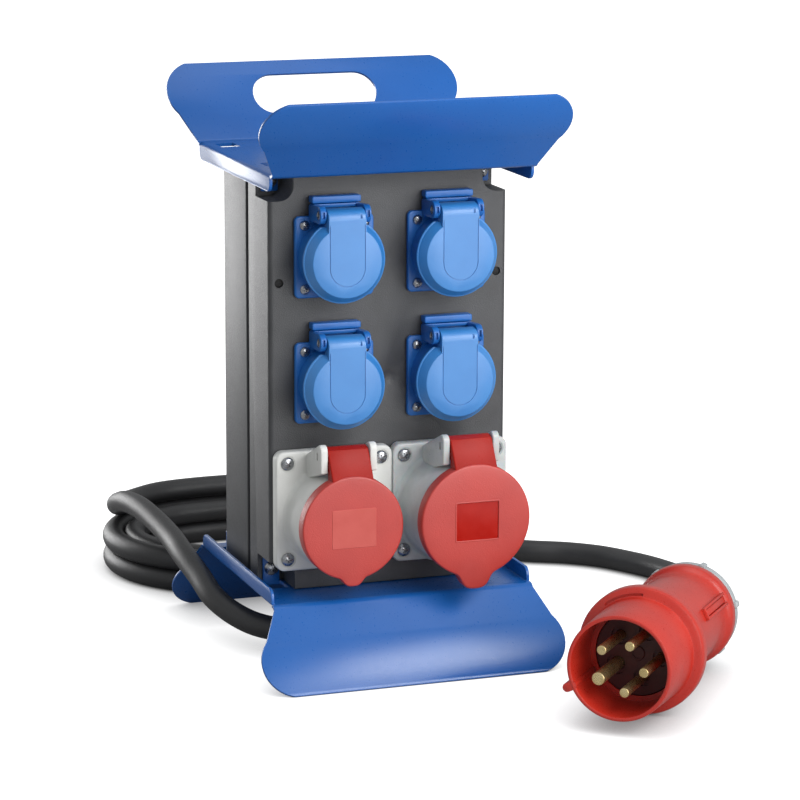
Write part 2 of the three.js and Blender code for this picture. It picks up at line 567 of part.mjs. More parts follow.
// ---- Elbow gland under the enclosure ---------------------------------------------------------
function glandElbow() {
  const { x, y, z, shank, body, outlet } = GLAND;
  const upright = bar('z', shank, z, BOX_BOTTOM + 9, [x, y, 0]);
  const shoulder = bar('z', shank + 3, BASE_PLATE_TOP - SHEET - GAP - 3, BASE_PLATE_TOP - SHEET - GAP, [x, y, 0]);
  const sideways = bar('x', body, outlet, x, [0, y, z]);
  const ball = new THREE.SphereGeometry(body, 16, 8);
  ball.translate(x, y, z);
  return upright.add(shoulder).add(sideways).add(solid(ball));
}

add('cable_gland_elbow', glandElbow(), COLOUR.rubber);
add('cable_gland_nut', bar('x', GLAND.nut, GLAND.nutEnd, GLAND.outlet - GAP, [0, GLAND.y, GLAND.z], 12), COLOUR.rubber);

// ---- Plug ------------------------------------------------------------------------------------
// Drawn with its mouth at the origin and its body along +Y, then turned to where it lies.
const plug = new THREE.Group();
plug.position.copy(PLUG.mouth);
plug.rotation.set(THREE.MathUtils.degToRad(-PLUG.dip), 0, THREE.MathUtils.degToRad(-PLUG.heading), 'ZXY');
assembly.add(plug);

function plugShroud() {
  const p = PLUG;
  const tube = turned([[p.bore, 0], [p.shroud, 0], [p.shroud + 1, p.shroudLength], [p.ring, p.ringFrom],
    [p.ring, p.ringTo], [p.bore - 3, p.ringTo], [p.bore - 3, p.floor], [p.bore, p.floor], [p.bore, 0]], [0, 0, 0], 32);
  const angle = THREE.MathUtils.degToRad(p.key);
  const key = roundedSlab(4, 2.7, 2.6, [0, p.shroudLength], [0, 0]);
  const away = p.shroud + 1.5;
  const geometry = geometryOf(key);
  geometry.rotateY(-angle);
  geometry.translate(Math.cos(angle) * away, 0, Math.sin(angle) * away);
  return tube.add(solid(geometry));
}

function pinPlaces() {
  const p = PLUG;
  return [0, 1, 2, 3, 4].map((i) => {
    const angle = THREE.MathUtils.degToRad(p.earthAngle - i * 72);
    return [Math.cos(angle) * p.circle, Math.sin(angle) * p.circle];
  });
}

function plugCarrier() {
  const p = PLUG;
  let carrier = bar('y', p.bore - 3 - GAP, p.floor, p.ringTo, [0, 0, 0], 28);
  pinPlaces().forEach(([x, z], i) => {
    const radius = (i ? p.pin : p.earth) + GAP;
    carrier = carrier.subtract(bar('y', radius, p.floor - 5, p.ringTo + 5, [x, 0, z], 12));
  });
  return carrier;
}

function plugHandle() {
  const p = PLUG;
  const from = p.ringTo + GAP;
  return turned([[0, from], [p.ring - 3, from], [p.ring - 4.5, from + 3], [p.barrelFront, from + 6],
    [p.barrelRear, p.flareFrom - 8], [p.flare - 1, p.flareFrom], [p.flare, p.flareFrom + 3],
    [p.flare - 1, p.handleEnd], [p.flare - 8, p.handleEnd], [p.flare - 8, p.handleEnd - 10], [0, p.handleEnd - 10]],
  [0, 0, 0]);
}

function plugNut() {
  const p = PLUG;
  return turned([[CORD_RADIUS + 1, p.nutFrom + GAP], [p.nut, p.nutFrom + GAP], [p.nut, p.nutFrom + 8],
    [p.nutRear, p.nutEnd], [CORD_RADIUS + 1, p.nutEnd], [CORD_RADIUS + 1, p.nutFrom + GAP]], [0, 0, 0], 24);
}

add('plug_shroud', plugShroud(), COLOUR.red, plug);
add('plug_pin_carrier', plugCarrier(), COLOUR.darkRed, plug);
add('plug_handle', plugHandle(), COLOUR.red, plug);
add('plug_gland_nut', plugNut(), COLOUR.smoke, plug);
pinPlaces().forEach(([x, z], i) => {
  const name = i ? `plug_pin_${i}` : 'plug_earth_pin';
  add(name, bar('y', i ? PLUG.pin : PLUG.earth, PLUG.pinTip, PLUG.ringTo, [x, 0, z], 12), COLOUR.brass, plug);
});

// ---- Lead ------------------------------------------------------------------------------------
function hank(grow) {
  const { left, right, y, outer, inner, height } = HANK;
  const shape = new THREE.Shape();
  shape.absarc(right, y, outer + grow, -Math.PI / 2, Math.PI / 2);
  shape.absarc(left, y, outer + grow, Math.PI / 2, Math.PI * 1.5);
  const hole = new THREE.Path();
  hole.absarc(right, y, inner - grow, -Math.PI / 2, Math.PI / 2);
  hole.absarc(left, y, inner - grow, Math.PI / 2, Math.PI * 1.5);
  shape.holes.push(hole);
  const geometry = new THREE.ExtrudeGeometry(shape, { depth: height + grow, bevelEnabled: false, curveSegments: 8 });
  return solid(geometry);
}

function cord(points, steps) {
  const section = new THREE.Shape();
  section.absarc(0, 0, CORD_RADIUS, 0, Math.PI * 2);
  const path = new THREE.CatmullRomCurve3(points.map((p) => new THREE.Vector3(...p)), false, 'centripetal');
  return solid(new THREE.ExtrudeGeometry(section, { steps, extrudePath: path, curveSegments: 5, bevelEnabled: false }));
}

// From the elbow gland, round under the base, up past its left edge and over to the hank.
const baseRoute = [
  [GLAND.nutEnd - GAP, GLAND.y, GLAND.z], [-8, GLAND.y, GLAND.z], [-24, -30.5, 20], [-40, -28, 17],
  [-56, -22, 14.5], [-69, -11.5, 14], [-77, -2, 16], [-84, 9, 20.5], [-89.5, 27, 27], [-93.5, 50, 35],
  [-96, 76, 42], [-96, 105, 46.5], [-98, 135, 50.5], [-101, 165, 53], [-103.5, 190, 51.5], [-103, 212, 46],
  [-98, 232, 38],
];
// From the plug's nut, out and round on the floor to the hank's right end.
const plugAxis = new THREE.Vector3(0, 1, 0).applyEuler(plug.rotation);
const nutFace = PLUG.mouth.clone().addScaledVector(plugAxis, PLUG.nutEnd + GAP);
const nutLead = PLUG.mouth.clone().addScaledVector(plugAxis, PLUG.nutEnd + 25);
const plugRoute = [
  nutFace.toArray(), nutLead.toArray(), [220, -48, 24], [234, -5, 16], [237, 35, 9.5], [230, 68, CORD_REST],
  [221, 86, CORD_REST], [208, 106, CORD_REST], [190, 122, CORD_REST], [167, 135, CORD_REST],
  [149.5, 148.5, CORD_REST], [140, 162, CORD_REST], [136, 172, CORD_REST],
];

add('cable_hank', hank(0), COLOUR.rubber);
add('cable_base_run', cord(baseRoute, 30).subtract(hank(GAP)), COLOUR.rubber);
add('cable_plug_run', cord(plugRoute, 30).subtract(hank(GAP)), COLOUR.rubber);

export default assembly;
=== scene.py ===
# Portable power distribution box, 356 mm high: a black two-part enclosure between two bent steel
# frames, with four single-phase outlets, two three-phase sockets, and a rubber lead with its plug.
# Metres, +Z up, the front faces -Y, the origin is on the floor under the middle of the box.
import math

import bmesh
import bpy
from mathutils import Matrix, Vector


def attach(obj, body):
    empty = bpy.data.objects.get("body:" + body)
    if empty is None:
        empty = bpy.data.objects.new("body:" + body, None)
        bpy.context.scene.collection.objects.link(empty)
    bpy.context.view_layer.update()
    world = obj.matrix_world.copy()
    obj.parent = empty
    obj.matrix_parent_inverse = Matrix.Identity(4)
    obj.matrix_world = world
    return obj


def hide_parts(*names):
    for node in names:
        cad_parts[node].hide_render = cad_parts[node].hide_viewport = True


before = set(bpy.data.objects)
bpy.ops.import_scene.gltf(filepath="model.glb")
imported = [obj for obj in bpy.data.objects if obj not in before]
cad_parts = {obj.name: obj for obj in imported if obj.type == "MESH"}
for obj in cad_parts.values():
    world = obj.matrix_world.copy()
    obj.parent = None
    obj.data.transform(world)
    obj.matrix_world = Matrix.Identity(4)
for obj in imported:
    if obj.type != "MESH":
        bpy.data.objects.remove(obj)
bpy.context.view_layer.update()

# ---------------------------------------------------------------------------------------------
# Studio: a pale seamless floor under a white surround, a large softbox in front on the right with
# a small one above it, a weak one overhead, and a lit white card behind on the left that the side
# wall reflects. The floor glows evenly for the camera, and an ambient-occlusion mask darkens that
# glow where something touches it: a painted contact shadow.
MM = 0.001


def let_go():
    if bpy.context.object and bpy.context.object.mode != "OBJECT":
        bpy.ops.object.mode_set(mode="OBJECT")
    bpy.ops.object.select_all(action="DESELECT")


def paint_value(red, green, blue):
    linear = []
    for part in (red, green, blue):
        part /= 255
        linear.append(part / 12.92 if part <= 0.04045 else ((part + 0.055) / 1.055) ** 2.4)
    return (*linear, 1.0)


let_go()
bpy.ops.mesh.primitive_plane_add(size=9, location=(0, 1.5, 0))
floor = bpy.context.object
floor.name = "studio_floor"
bpy.ops.object.transform_apply(location=True, rotation=False, scale=False)
paper = bpy.data.materials.new("floor_paper")
paper.use_nodes = True
paper_shader = paper.node_tree.nodes["Principled BSDF"]
paper_shader.inputs["Base Color"].default_value = paint_value(150, 150, 151)
seen = paper.node_tree.nodes.new("ShaderNodeLightPath")
glow = paper.node_tree.nodes.new("ShaderNodeMapRange")
glow.inputs["To Min"].default_value = 0.08
glow.inputs["To Max"].default_value = 1.2
paper.node_tree.links.new(seen.outputs["Is Camera Ray"], glow.inputs["Value"])
paper.node_tree.links.new(glow.outputs["Result"], paper_shader.inputs["Emission Strength"])
# Painted contact shadow: an ambient-occlusion mask sets the floor's glow colour, dark where parts touch the
# floor.
contact = paper.node_tree.nodes.new("ShaderNodeAmbientOcclusion")
contact.inputs["Distance"].default_value = 0.05
paper.node_tree.links.new(contact.outputs["Color"], paper_shader.inputs["Emission Color"])
paper_shader.inputs["Roughness"].default_value = 0.9
paper_shader.inputs["Specular IOR Level"].default_value = 0.1
floor.data.materials.append(paper)

surround = bpy.data.worlds.new("white_surround")
bpy.context.scene.world = surround
surround.use_nodes = True
sky = surround.node_tree
sky_light = sky.nodes["Background"]
sky_light.inputs["Color"].default_value = (0.97, 0.985, 1.0, 1.0)
sky_light.inputs["Strength"].default_value = 0.47
backdrop = sky.nodes.new("ShaderNodeBackground")
backdrop.inputs["Color"].default_value = (1, 1, 1, 1)
backdrop.inputs["Strength"].default_value = 1.1
straight = sky.nodes.new("ShaderNodeLightPath")
either = sky.nodes.new("ShaderNodeMixShader")
sky.links.new(straight.outputs["Is Camera Ray"], either.inputs["Fac"])
sky.links.new(sky_light.outputs["Background"], either.inputs[1])
sky.links.new(backdrop.outputs["Background"], either.inputs[2])
sky.links.new(either.outputs["Shader"], sky.nodes["World Output"].inputs["Surface"])

for name, place, aim, width, height, power in (
    ("softbox_front_right", (0.45, -1.1, 0.5), (0, 0, 0.2), 1.1, 1.1, 12),
    ("softbox_upper_front", (0.32, -0.72, 0.68), (0, 0, 0.05), 0.5, 0.3, 2.6),
    ("softbox_overhead", (0.1, -0.2, 1.9), (0, 0, 0.1), 1.2, 1.0, 4),
    ("card_behind_left", (-0.52, 1.05, 0.24), (0, 0, 0.2), 0.6, 0.54, 6),
):
    let_go()
    bpy.ops.object.light_add(type="AREA", location=place)
    lamp = bpy.context.object
    lamp.name = name
    lamp.rotation_euler = (Vector(aim) - Vector(place)).to_track_quat("-Z", "Y").to_euler()
    lamp.data.shape = "RECTANGLE"
    lamp.data.size, lamp.data.size_y, lamp.data.energy = width, height, power

let_go()
bpy.ops.object.camera_add()
eye = bpy.context.object
eye.name = "studio_camera"
eye.data.sensor_width = 36
eye.data.lens = 150.4
eye.data.clip_start, eye.data.clip_end = 0.1, 30
right = Vector((0.942394, -0.334486, 0.003456))
up = Vector((0.067630, 0.200641, 0.977328))
ahead = Vector((0.327596, 0.920794, -0.211705))
eye.matrix_world = Matrix((
    (right.x, up.x, -ahead.x, -0.664945),
    (right.y, up.y, -ahead.y, -1.937745),
    (right.z, up.z, -ahead.z, 0.597534),
    (0, 0, 0, 1),
))
bpy.context.scene.camera = eye
bpy.context.scene.view_settings.view_transform = "Standard"

# ---------------------------------------------------------------------------------------------
# Lead: 3.55 m of 15 mm rubber-sheathed cable. It leaves the elbow gland under the base, comes up
# past the left edge, hooks over into a hank behind the box, and runs along the floor to the plug.
lead_radius = 7.5
lead_rest = 7.9
plug_mouth = Vector((71.7, -243.2, 40.5))
plug_heading, plug_dip = math.radians(39.7), math.radians(2.2)
plug_axis = Vector((
    math.sin(plug_heading) * math.cos(plug_dip),
    math.cos(plug_heading) * math.cos(plug_dip),
    -math.sin(plug_dip),
))
lead_route = [
    *(tuple(plug_mouth + plug_axis * inside) for inside in (64, 104, 144, 170, 195)),
    (220, -48, 24), (234, -5, 16), (236.5, 35, 9.5), (230, 68, lead_rest), (221, 86, lead_rest),
    (208, 106, lead_rest), (190, 122, lead_rest), (167, 135, lead_rest), (149.5, 148.5, lead_rest),
    (140, 162, lead_rest), (134.5, 178, lead_rest),
]
hank_left, hank_right, hank_y = -32, 55, 198
turn_list = [(76.6, 7.9), (62.5, 7.9), (62.5, 22.0), (76.6, 22.2), (76.6, 36.0)]
for turn, (turn_radius, level) in enumerate(turn_list):
    last = turn == len(turn_list) - 1
    next_radius, next_level = (turn_radius, level) if last else turn_list[turn + 1]
    for step in range(0, 4):
        angle = math.radians(step * 22.5)
        lead_route.append((hank_right + turn_radius * math.cos(angle),
                           hank_y + turn_radius * math.sin(angle), level))
    for share in (0.0, 0.5):
        sag = -0.2 + 0.2 * math.sin(turn * 2.1 + share * 3)
        lead_route.append((hank_right + (hank_left - hank_right) * share,
                           hank_y + turn_radius + sag, level))
    for step in range(0, 3 if last else 9):
        angle = math.radians(90 + step * 22.5)
        ease = -0.3 + 0.3 * math.sin(turn * 1.7 + step * 0.8)
        lead_route.append((hank_left + (turn_radius + ease) * math.cos(angle),
                           hank_y + (turn_radius + ease) * math.sin(angle), level))
    if last:
        break
    for share in (0.33, 0.67, 1.0):
        climb = share * share * (3 - 2 * share)
        lead_route.append((hank_left + (hank_right - hank_left) * share,
                           hank_y - turn_radius + (turn_radius - next_radius) * climb,
                           level + (next_level - level) * climb))
    for step in range(1, 4):
        angle = math.radians(-90 + step * 22.5)
        lead_route.append((hank_right + next_radius * math.cos(angle),
                           hank_y + next_radius * math.sin(angle), next_level))
lead_route += [
    (-98.3, 233.4, 39.2), (-103, 211.5, 45.8), (-103.5, 190, 51.5), (-101, 165, 53), (-98, 135, 50.5),
    (-96, 105, 46.5), (-96, 76, 42), (-93.5, 50, 35), (-91, 26, 27), (-83.5, 9, 20.5), (-72.5, -6, 16),
    (-58.5, -18, 14.7), (-42, -26, 16.4), (-24, -30.3, 19.6), (-8, -31, 22), (5, -31, 22),
]
lead_curve = bpy.data.curves.new("lead", "CURVE")
lead_curve.dimensions = "3D"
strand = lead_curve.splines.new("BEZIER")
strand.bezier_points.add(len(lead_route) - 1)
line = [Vector(place) * MM for place in lead_route]
line = [2 * line[0] - line[1]] + line + [2 * line[-1] - line[-2]]
for number, point in enumerate(strand.bezier_points):
    before, here, after = line[number:number + 3]
    back, on = math.sqrt((here - before).length), math.sqrt((after - here).length)
    flow = (here - before) / back - (after - before) / (back + on) + (after - here) / on
    point.handle_left_type = point.handle_right_type = "FREE"
    point.co = here
    point.handle_left = here - flow * back / 3
    point.handle_right = here + flow * on / 3
strand.resolution_u = 7
lead_curve.bevel_depth = lead_radius * MM
lead_curve.bevel_resolution = 7
lead_curve.use_fill_caps = True
lead = bpy.data.objects.new("lead", lead_curve)
bpy.context.collection.objects.link(lead)


def mottled(name, deep, pale, patch, grain, grain_depth, rough_low, rough_high, shine=0.5):
    """A surface whose colour drifts in soft patches, with a fine skin in its bump and gloss."""
    skin = bpy.data.materials.new(name)
    skin.use_nodes = True
    tree = skin.node_tree
    shader = tree.nodes["Principled BSDF"]
    place = tree.nodes.new("ShaderNodeTexCoord")
    drift = tree.nodes.new("ShaderNodeTexNoise")
    drift.inputs["Scale"].default_value = 1000 / patch
    drift.inputs["Detail"].default_value = 4
    tint = tree.nodes.new("ShaderNodeValToRGB")
    tint.color_ramp.elements[0].position, tint.color_ramp.elements[1].position = 0.3, 0.7
    tint.color_ramp.elements[0].color = paint_value(*deep)
    tint.color_ramp.elements[1].color = paint_value(*pale)
    pores = tree.nodes.new("ShaderNodeTexNoise")
    pores.inputs["Scale"].default_value = 1000 / grain
    pores.inputs["Detail"].default_value = 2
    relief = tree.nodes.new("ShaderNodeBump")
    relief.inputs["Strength"].default_value = 1.0
    relief.inputs["Distance"].default_value = grain_depth * MM
    gloss = tree.nodes.new("ShaderNodeMapRange")
    gloss.inputs["From Min"].default_value, gloss.inputs["From Max"].default_value = 0.3, 0.7
    gloss.inputs["To Min"].default_value, gloss.inputs["To Max"].default_value = rough_low, rough_high
    for texture in (drift, pores):
        tree.links.new(place.outputs["Object"], texture.inputs["Vector"])
    tree.links.new(drift.outputs["Fac"], tint.inputs["Fac"])
    tree.links.new(tint.outputs["Color"], shader.inputs["Base Color"])
    tree.links.new(pores.outputs["Fac"], relief.inputs["Height"])
    tree.links.new(relief.outputs["Normal"], shader.inputs["Normal"])
    tree.links.new(pores.outputs["Fac"], gloss.inputs["Value"])
    tree.links.new(gloss.outputs["Result"], shader.inputs["Roughness"])
    shader.inputs["Specular IOR Level"].default_value = shine
    return skin


sheath = mottled("lead_rubber", (36, 36, 37), (46, 46, 47), 30, 0.9, 0.05, 0.4, 0.56, 0.75)
lead_curve.materials.append(sheath)
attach(lead, "box")
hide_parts("cable_hank", "cable_base_run", "cable_plug_run")

# ---------------------------------------------------------------------------------------------
# Frames: two pressings of 2 mm sheet steel, cut to shape, bent along four edges and powder coated.
# The upper one has a hand hole in its rear flange; the lower one stands on its two flanges. Each
# has four narrow tabs, turned down from slots, that take the screws through the enclosure.
sheet = 2.0
plate_half, plate_end = 84.0, 78.0
bend_turn = math.radians(55)
bend_radius = 4.0
facings = {
    "up": Matrix.Identity(4),
    "front": Matrix(((1, 0, 0, 0), (0, 0, -1, 0), (0, 1, 0, 0), (0, 0, 0, 1))),
    "side": Matrix(((0, 0, 1, 0), (1, 0, 0, 0), (0, 1, 0, 0), (0, 0, 0, 1))),
}


def take(piece):
    let_go()
    piece.select_set(True)
    bpy.context.view_layer.objects.active = piece


def stand(piece, facing="up", place=(0, 0, 0)):
    """Turns a piece drawn flat to face up, to the front or to the side, and settles it there."""
    take(piece)
    piece.matrix_world = Matrix.Translation(Vector(place) * MM) @ facings[facing] @ piece.matrix_world
    bpy.ops.object.transform_apply(location=True, rotation=True, scale=True)
    return piece


def pick(piece, wanted):
    bpy.ops.mesh.select_mode(type="VERT")
    bpy.ops.mesh.select_all(action="DESELECT")
    net = bmesh.from_edit_mesh(piece.data)
    for corner in net.verts:
        corner.select = bool(wanted(corner.co / MM))
    net.select_flush(True)
    bmesh.update_edit_mesh(piece.data)


def work(piece, kind, **settings):
    take(piece)
    step = piece.modifiers.new(kind.lower(), kind)
    for setting, value in settings.items():
        setattr(step, setting, value)
    bpy.ops.object.modifier_apply(modifier=step.name)
    return piece


def soften(piece, width, segments=2, angle=32):
    return work(piece, "BEVEL", width=width * MM, segments=segments, limit_method="ANGLE",
                angle_limit=math.radians(angle))


def carve(piece, *tools, how="DIFFERENCE"):
    for tool in tools:
        work(piece, "BOOLEAN", operation=how, object=tool, solver="EXACT")
        bpy.data.objects.remove(tool)
    return piece


def drawn_out(name, outline, depth):
    """A flat outline, given as pairs in millimetres, drawn out to a depth."""
    let_go()
    bpy.ops.mesh.primitive_circle_add(vertices=len(outline), radius=MM, fill_type="NGON")
    piece = bpy.context.object
    piece.name = name
    for corner, (across, along) in zip(piece.data.vertices, outline):
        corner.co = (across * MM, along * MM, 0)
    bpy.ops.object.mode_set(mode="EDIT")
    bpy.ops.mesh.select_all(action="SELECT")
    bpy.ops.mesh.extrude_region_move(TRANSFORM_OT_translate={"value": (0, 0, depth * MM)})
    bpy.ops.mesh.select_all(action="SELECT")
    bpy.ops.mesh.normals_make_consistent(inside=False)
    bpy.ops.object.mode_set(mode="OBJECT")
    return piece


def round_corners(half_across, half_along, radius, steps=6, middle=(0, 0)):
    outline = []
    for corner in range(4):
        side_a = 1 if corner in (0, 3) else -1
        side_b = 1 if corner < 2 else -1
        for step in range(steps + 1):
            angle = math.radians(90 * corner + 90 * step / steps)
            outline.append((middle[0] + side_a * (half_across - radius) + radius * math.cos(angle),
                            middle[1] + side_b * (half_along - radius) + radius * math.sin(angle)))
    return outline


def settle(piece, body, material, slot, *nodes, smooth=32):
    take(piece)
    bpy.ops.object.shade_smooth_by_angle(angle=math.radians(smooth))
    piece.data.materials.clear()
    piece.data.materials.append(material)
    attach(piece, body)
    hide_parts(*nodes)
    return piece


def bent_frame(name, slope_length, hand_hole):
    """Drawn with the enclosure under Z 0 and its flanges rising."""
    run = bend_radius * math.tan(bend_turn / 2)
    flat = plate_end - run
    lip_bend, lip_half = 1.6, 74.0
    let_go()
    bpy.ops.mesh.primitive_plane_add(size=MM, location=(0, 0, sheet / 2 * MM))
    piece = bpy.context.object
    piece.name = name
    piece.scale = (2 * (plate_half - 1 - lip_bend), 2 * lip_half, 1)
    bpy.ops.object.transform_apply(location=True, rotation=True, scale=True)
    bpy.ops.object.mode_set(mode="EDIT")
    for side in (-1, 1):
        pick(piece, lambda at: at.x * side > 50)
        for step in range(4):
            before, after = (math.radians(90 * (step + k) / 4) for k in (0, 1))
            bpy.ops.mesh.extrude_region_move(TRANSFORM_OT_translate={"value": (
                side * lip_bend * (math.sin(after) - math.sin(before)) * MM, 0,
                -lip_bend * (math.cos(before) - math.cos(after)) * MM)})
        height, half = sheet / 2 - lip_bend, lip_half
        for step in range(7):
            angle = math.radians(90 * step / 6.4)
            down, half_next = -2.5 - 6 * math.sin(angle), lip_half - 6 + 6 * math.cos(angle)
            bpy.ops.mesh.extrude_region_move(TRANSFORM_OT_translate={"value": (0, 0, (down - height) * MM)})
            bpy.ops.transform.resize(value=(1, half_next / half, 1), center_override=(0, 0, 0))
            height, half = down, half_next
    for side in (-1, 1):
        pick(piece, lambda at: at.y * side > 60 and abs(at.z - sheet / 2) < 0.01 and abs(at.x) < 81.5)
        bpy.ops.mesh.extrude_region_move(TRANSFORM_OT_translate={"value": (0, side * 0.3 * MM, 0)})
        bpy.ops.transform.resize(value=(plate_half / (plate_half - 1 - lip_bend), 1, 1),
                                 center_override=(0, 0, 0))
        bpy.ops.mesh.extrude_region_move(
            TRANSFORM_OT_translate={"value": (0, side * (flat - lip_half - 0.3) * MM, 0)})
        for step in range(8):
            before, after = (bend_turn * (step + k) / 8 for k in (0, 1))
            bpy.ops.mesh.extrude_region_move(TRANSFORM_OT_translate={"value": (
                0, side * bend_radius * (math.sin(after) - math.sin(before)) * MM,
                bend_radius * (math.cos(before) - math.cos(after)) * MM)})
        slope, half = run, plate_half
        corner_across, corner_along, corner = 75.8, 36.0, 22.0
        leave = math.asin((slope_length - corner_along) / corner)
        for step in range(15):
            angle = math.radians(-40.6) + (leave + math.radians(40.6)) * step / 14
            slope_next = corner_along + corner * math.sin(angle)
            half_next = corner_across + corner * math.cos(angle)
            rise = (slope_next - slope) * MM
            bpy.ops.mesh.extrude_region_move(TRANSFORM_OT_translate={"value": (
                0, side * rise * math.cos(bend_turn), rise * math.sin(bend_turn))})
            bpy.ops.transform.resize(value=(half_next / half, 1, 1), center_override=(0, 0, 0))
            slope, half = slope_next, half_next
    bpy.ops.object.mode_set(mode="OBJECT")
    work(piece, "SOLIDIFY", thickness=sheet * MM, offset=0, use_even_offset=True)
    take(piece)
    bpy.ops.object.mode_set(mode="EDIT")
    bpy.ops.mesh.select_all(action="SELECT")
    bpy.ops.mesh.normals_make_consistent(inside=False)
    bpy.ops.object.mode_set(mode="OBJECT")
    soften(piece, 0.45, 2, 60)
    if hand_hole:
        punch = drawn_out("punch", round_corners(41.5, 14, 13.99, 9), 20)
        punch.matrix_world = (Matrix.Translation(Vector((0, plate_end, sheet / 2)) * MM)
                              @ Matrix.Rotation(bend_turn, 4, "X")
                              @ Matrix.Translation(Vector((0, 32.6, -10)) * MM))
        carve(piece, punch)
    tab_front, tab_rear = -23.8, 47.8
    for side in (-1, 1):
        for across, face, slot in ((68.3, tab_front, (tab_front - 16.5, tab_front)),
                                   (70.3, tab_rear, (tab_rear + sheet, tab_rear + sheet + 16.5))):
            window = drawn_out("window", round_corners(6.2, (slot[1] - slot[0]) / 2, 1.2, 3), 8)
            carve(piece, stand(window, "up", (side * across, (slot[0] + slot[1]) / 2, -3)))
            tab = soften(drawn_out("tab", round_corners(5.2, 8.75, 1.0, 3), sheet), 0.3, 2)
            carve(piece, stand(tab, "front", (side * across, face + sheet, -6.75)), how="UNION")
    return piece


powder_coat = mottled("frame_powder_coat", (14, 88, 166), (18, 95, 176), 70, 1.4, 0.02, 0.27, 0.36)
powder_coat.node_tree.nodes["Principled BSDF"].inputs["Coat Weight"].default_value = 0.3
powder_coat.node_tree.nodes["Principled BSDF"].inputs["Coat Roughness"].default_value = 0.2

upper_frame = bent_frame("upper_frame", 56.8, True)
stand(upper_frame, "up", (0, 0, 308.1))
settle(upper_frame, "box", powder_coat, "frame_blue", "top_frame")

lower_frame = bent_frame("lower_frame", 57.5, False)
lower_frame.scale = (1, 1, -1)
stand(lower_frame, "up", (0, 0, 48.2))
gland_hole = drawn_out("gland_hole", round_corners(12.5, 12.5, 12.49, 10, (34, -31)), 10)
carve(lower_frame, stand(gland_hole, "up", (0, 0, 42)))
take(lower_frame)
bpy.ops.object.mode_set(mode="EDIT")
bpy.ops.mesh.select_all(action="SELECT")
bpy.ops.mesh.normals_make_consistent(inside=False)
bpy.ops.mesh.bisect(plane_co=(0, 0, 0.00002), plane_no=(0, 0, 1), use_fill=True, clear_inner=True)
bpy.ops.object.mode_set(mode="OBJECT")
settle(lower_frame, "box", powder_coat, "frame_blue", "bottom_frame")

# ---------------------------------------------------------------------------------------------
# Enclosure: two black moulded half shells, 3 mm thick, with a rubber seal between them. The front
# one has a stepped-in pocket at each corner for the frame screws, openings for the outlets, a
# shallow round mark in the middle, and two small ports closed by plugs.
shell_black = mottled("shell_plastic", (56, 57, 59), (68, 69, 71), 25, 0.7, 0.2, 0.38, 0.52, 0.6)
shell_half, shell_low, shell_high = 76.5, 48.5, 307.8
outlet_places = {
    "outlet_upper_left": (-36, 255.6), "outlet_upper_right": (36, 255.6),
    "outlet_lower_left": (-36, 178.3), "outlet_lower_right": (36, 178.3),
}


def block(name, across, depth, height):
    """A plain block between pairs of faces, to be worked further or used as a cutter."""
    let_go()
    bpy.ops.mesh.primitive_cube_add(size=1)
    piece = bpy.context.object
    piece.name = name
    piece.scale = [(b - a) * MM for a, b in (across, depth, height)]
    piece.location = [(a + b) / 2 * MM for a, b in (across, depth, height)]
    bpy.ops.object.transform_apply(location=True, rotation=True, scale=True)
    return piece


def half_shell(name, near, far):
    """A shell with its rounded upright edges at the near face, and its open seam at the far one."""
    piece = block(name, (-shell_half, shell_half), sorted((near, far)), (shell_low, shell_high))
    bpy.ops.object.mode_set(mode="EDIT")
    bpy.ops.mesh.select_mode(type="EDGE")
    bpy.ops.mesh.select_all(action="DESELECT")
    net = bmesh.from_edit_mesh(piece.data)
    for edge in net.edges:
        a, b = (corner.co / MM for corner in edge.verts)
        edge.select = abs(a.y - near) < 0.1 and abs(b.y - near) < 0.1 and abs(a.z - b.z) > 100
    bmesh.update_edit_mesh(piece.data)
    bpy.ops.mesh.bevel(offset=3 * MM, segments=6, affect="EDGES")
    bpy.ops.object.mode_set(mode="OBJECT")
    return soften(piece, 0.8, 3, 50)


def rod(name, radius, start, end, place, sides=48):
    """A round cutter or core along Y, from start to end."""
    let_go()
    bpy.ops.mesh.primitive_cylinder_add(vertices=sides, radius=radius * MM, depth=abs(end - start) * MM,
                                        location=(place[0] * MM, (start + end) / 2 * MM, place[1] * MM),
                                        rotation=(math.pi / 2, 0, 0))
    piece = bpy.context.object
    piece.name = name
    bpy.ops.object.transform_apply(location=True, rotation=True, scale=True)
    return piece


front_half = half_shell("front_half", -47.5, -5.8)
core = block("core", (-73.5, 73.5), (-44.5, 0), (51.5, 304.8))
for side in (-1, 1):
    for end, level in ((-1, shell_low), (1, shell_high)):
        post = block("post", sorted((side * 57.2, side * 90)), (-60, -18.4),
                     sorted((level - end * 21.2, level + end * 20)))
        carve(core, post)
carve(front_half, core)
for side in (-1, 1):
    for end, level in ((-1, shell_low), (1, shell_high)):
        pocket = drawn_out("pocket", round_corners(23, 24, 9, 7), 60)
        stand(pocket, "front", (side * (60.5 + 23), -21.5, level - end * 18 + end * 24))
        carve(front_half, pocket)
for across, height in outlet_places.values():
    carve(front_half, rod("bore", 23.6, -60, -40, (across, height)))
for radius, place in ((30.2, (-37.6, 96)), (33.2, (37.6, 97)), (2.75, (-70, 240)), (2.75, (70, 240))):
    carve(front_half, rod("bore", radius, -60, -40, place))
let_go()
bpy.ops.mesh.primitive_uv_sphere_add(segments=48, ring_count=32, radius=10 * MM,
                                     location=(0, -56.4 * MM, 178 * MM))
mark = bpy.context.object
bpy.ops.object.transform_apply(location=True, rotation=True, scale=True)
carve(front_half, mark)
carve(front_half, rod("gate", 1.1, -60, -46.7, (0, 178), 20))
settle(front_half, "box", shell_black, "shell_black", "front_shell")

rear_half = half_shell("rear_half", 47.5, -1.2)
carve(rear_half, block("core", (-73.5, 73.5), (-10, 44.5), (51.5, 304.8)))
settle(rear_half, "box", shell_black, "shell_black", "rear_shell")

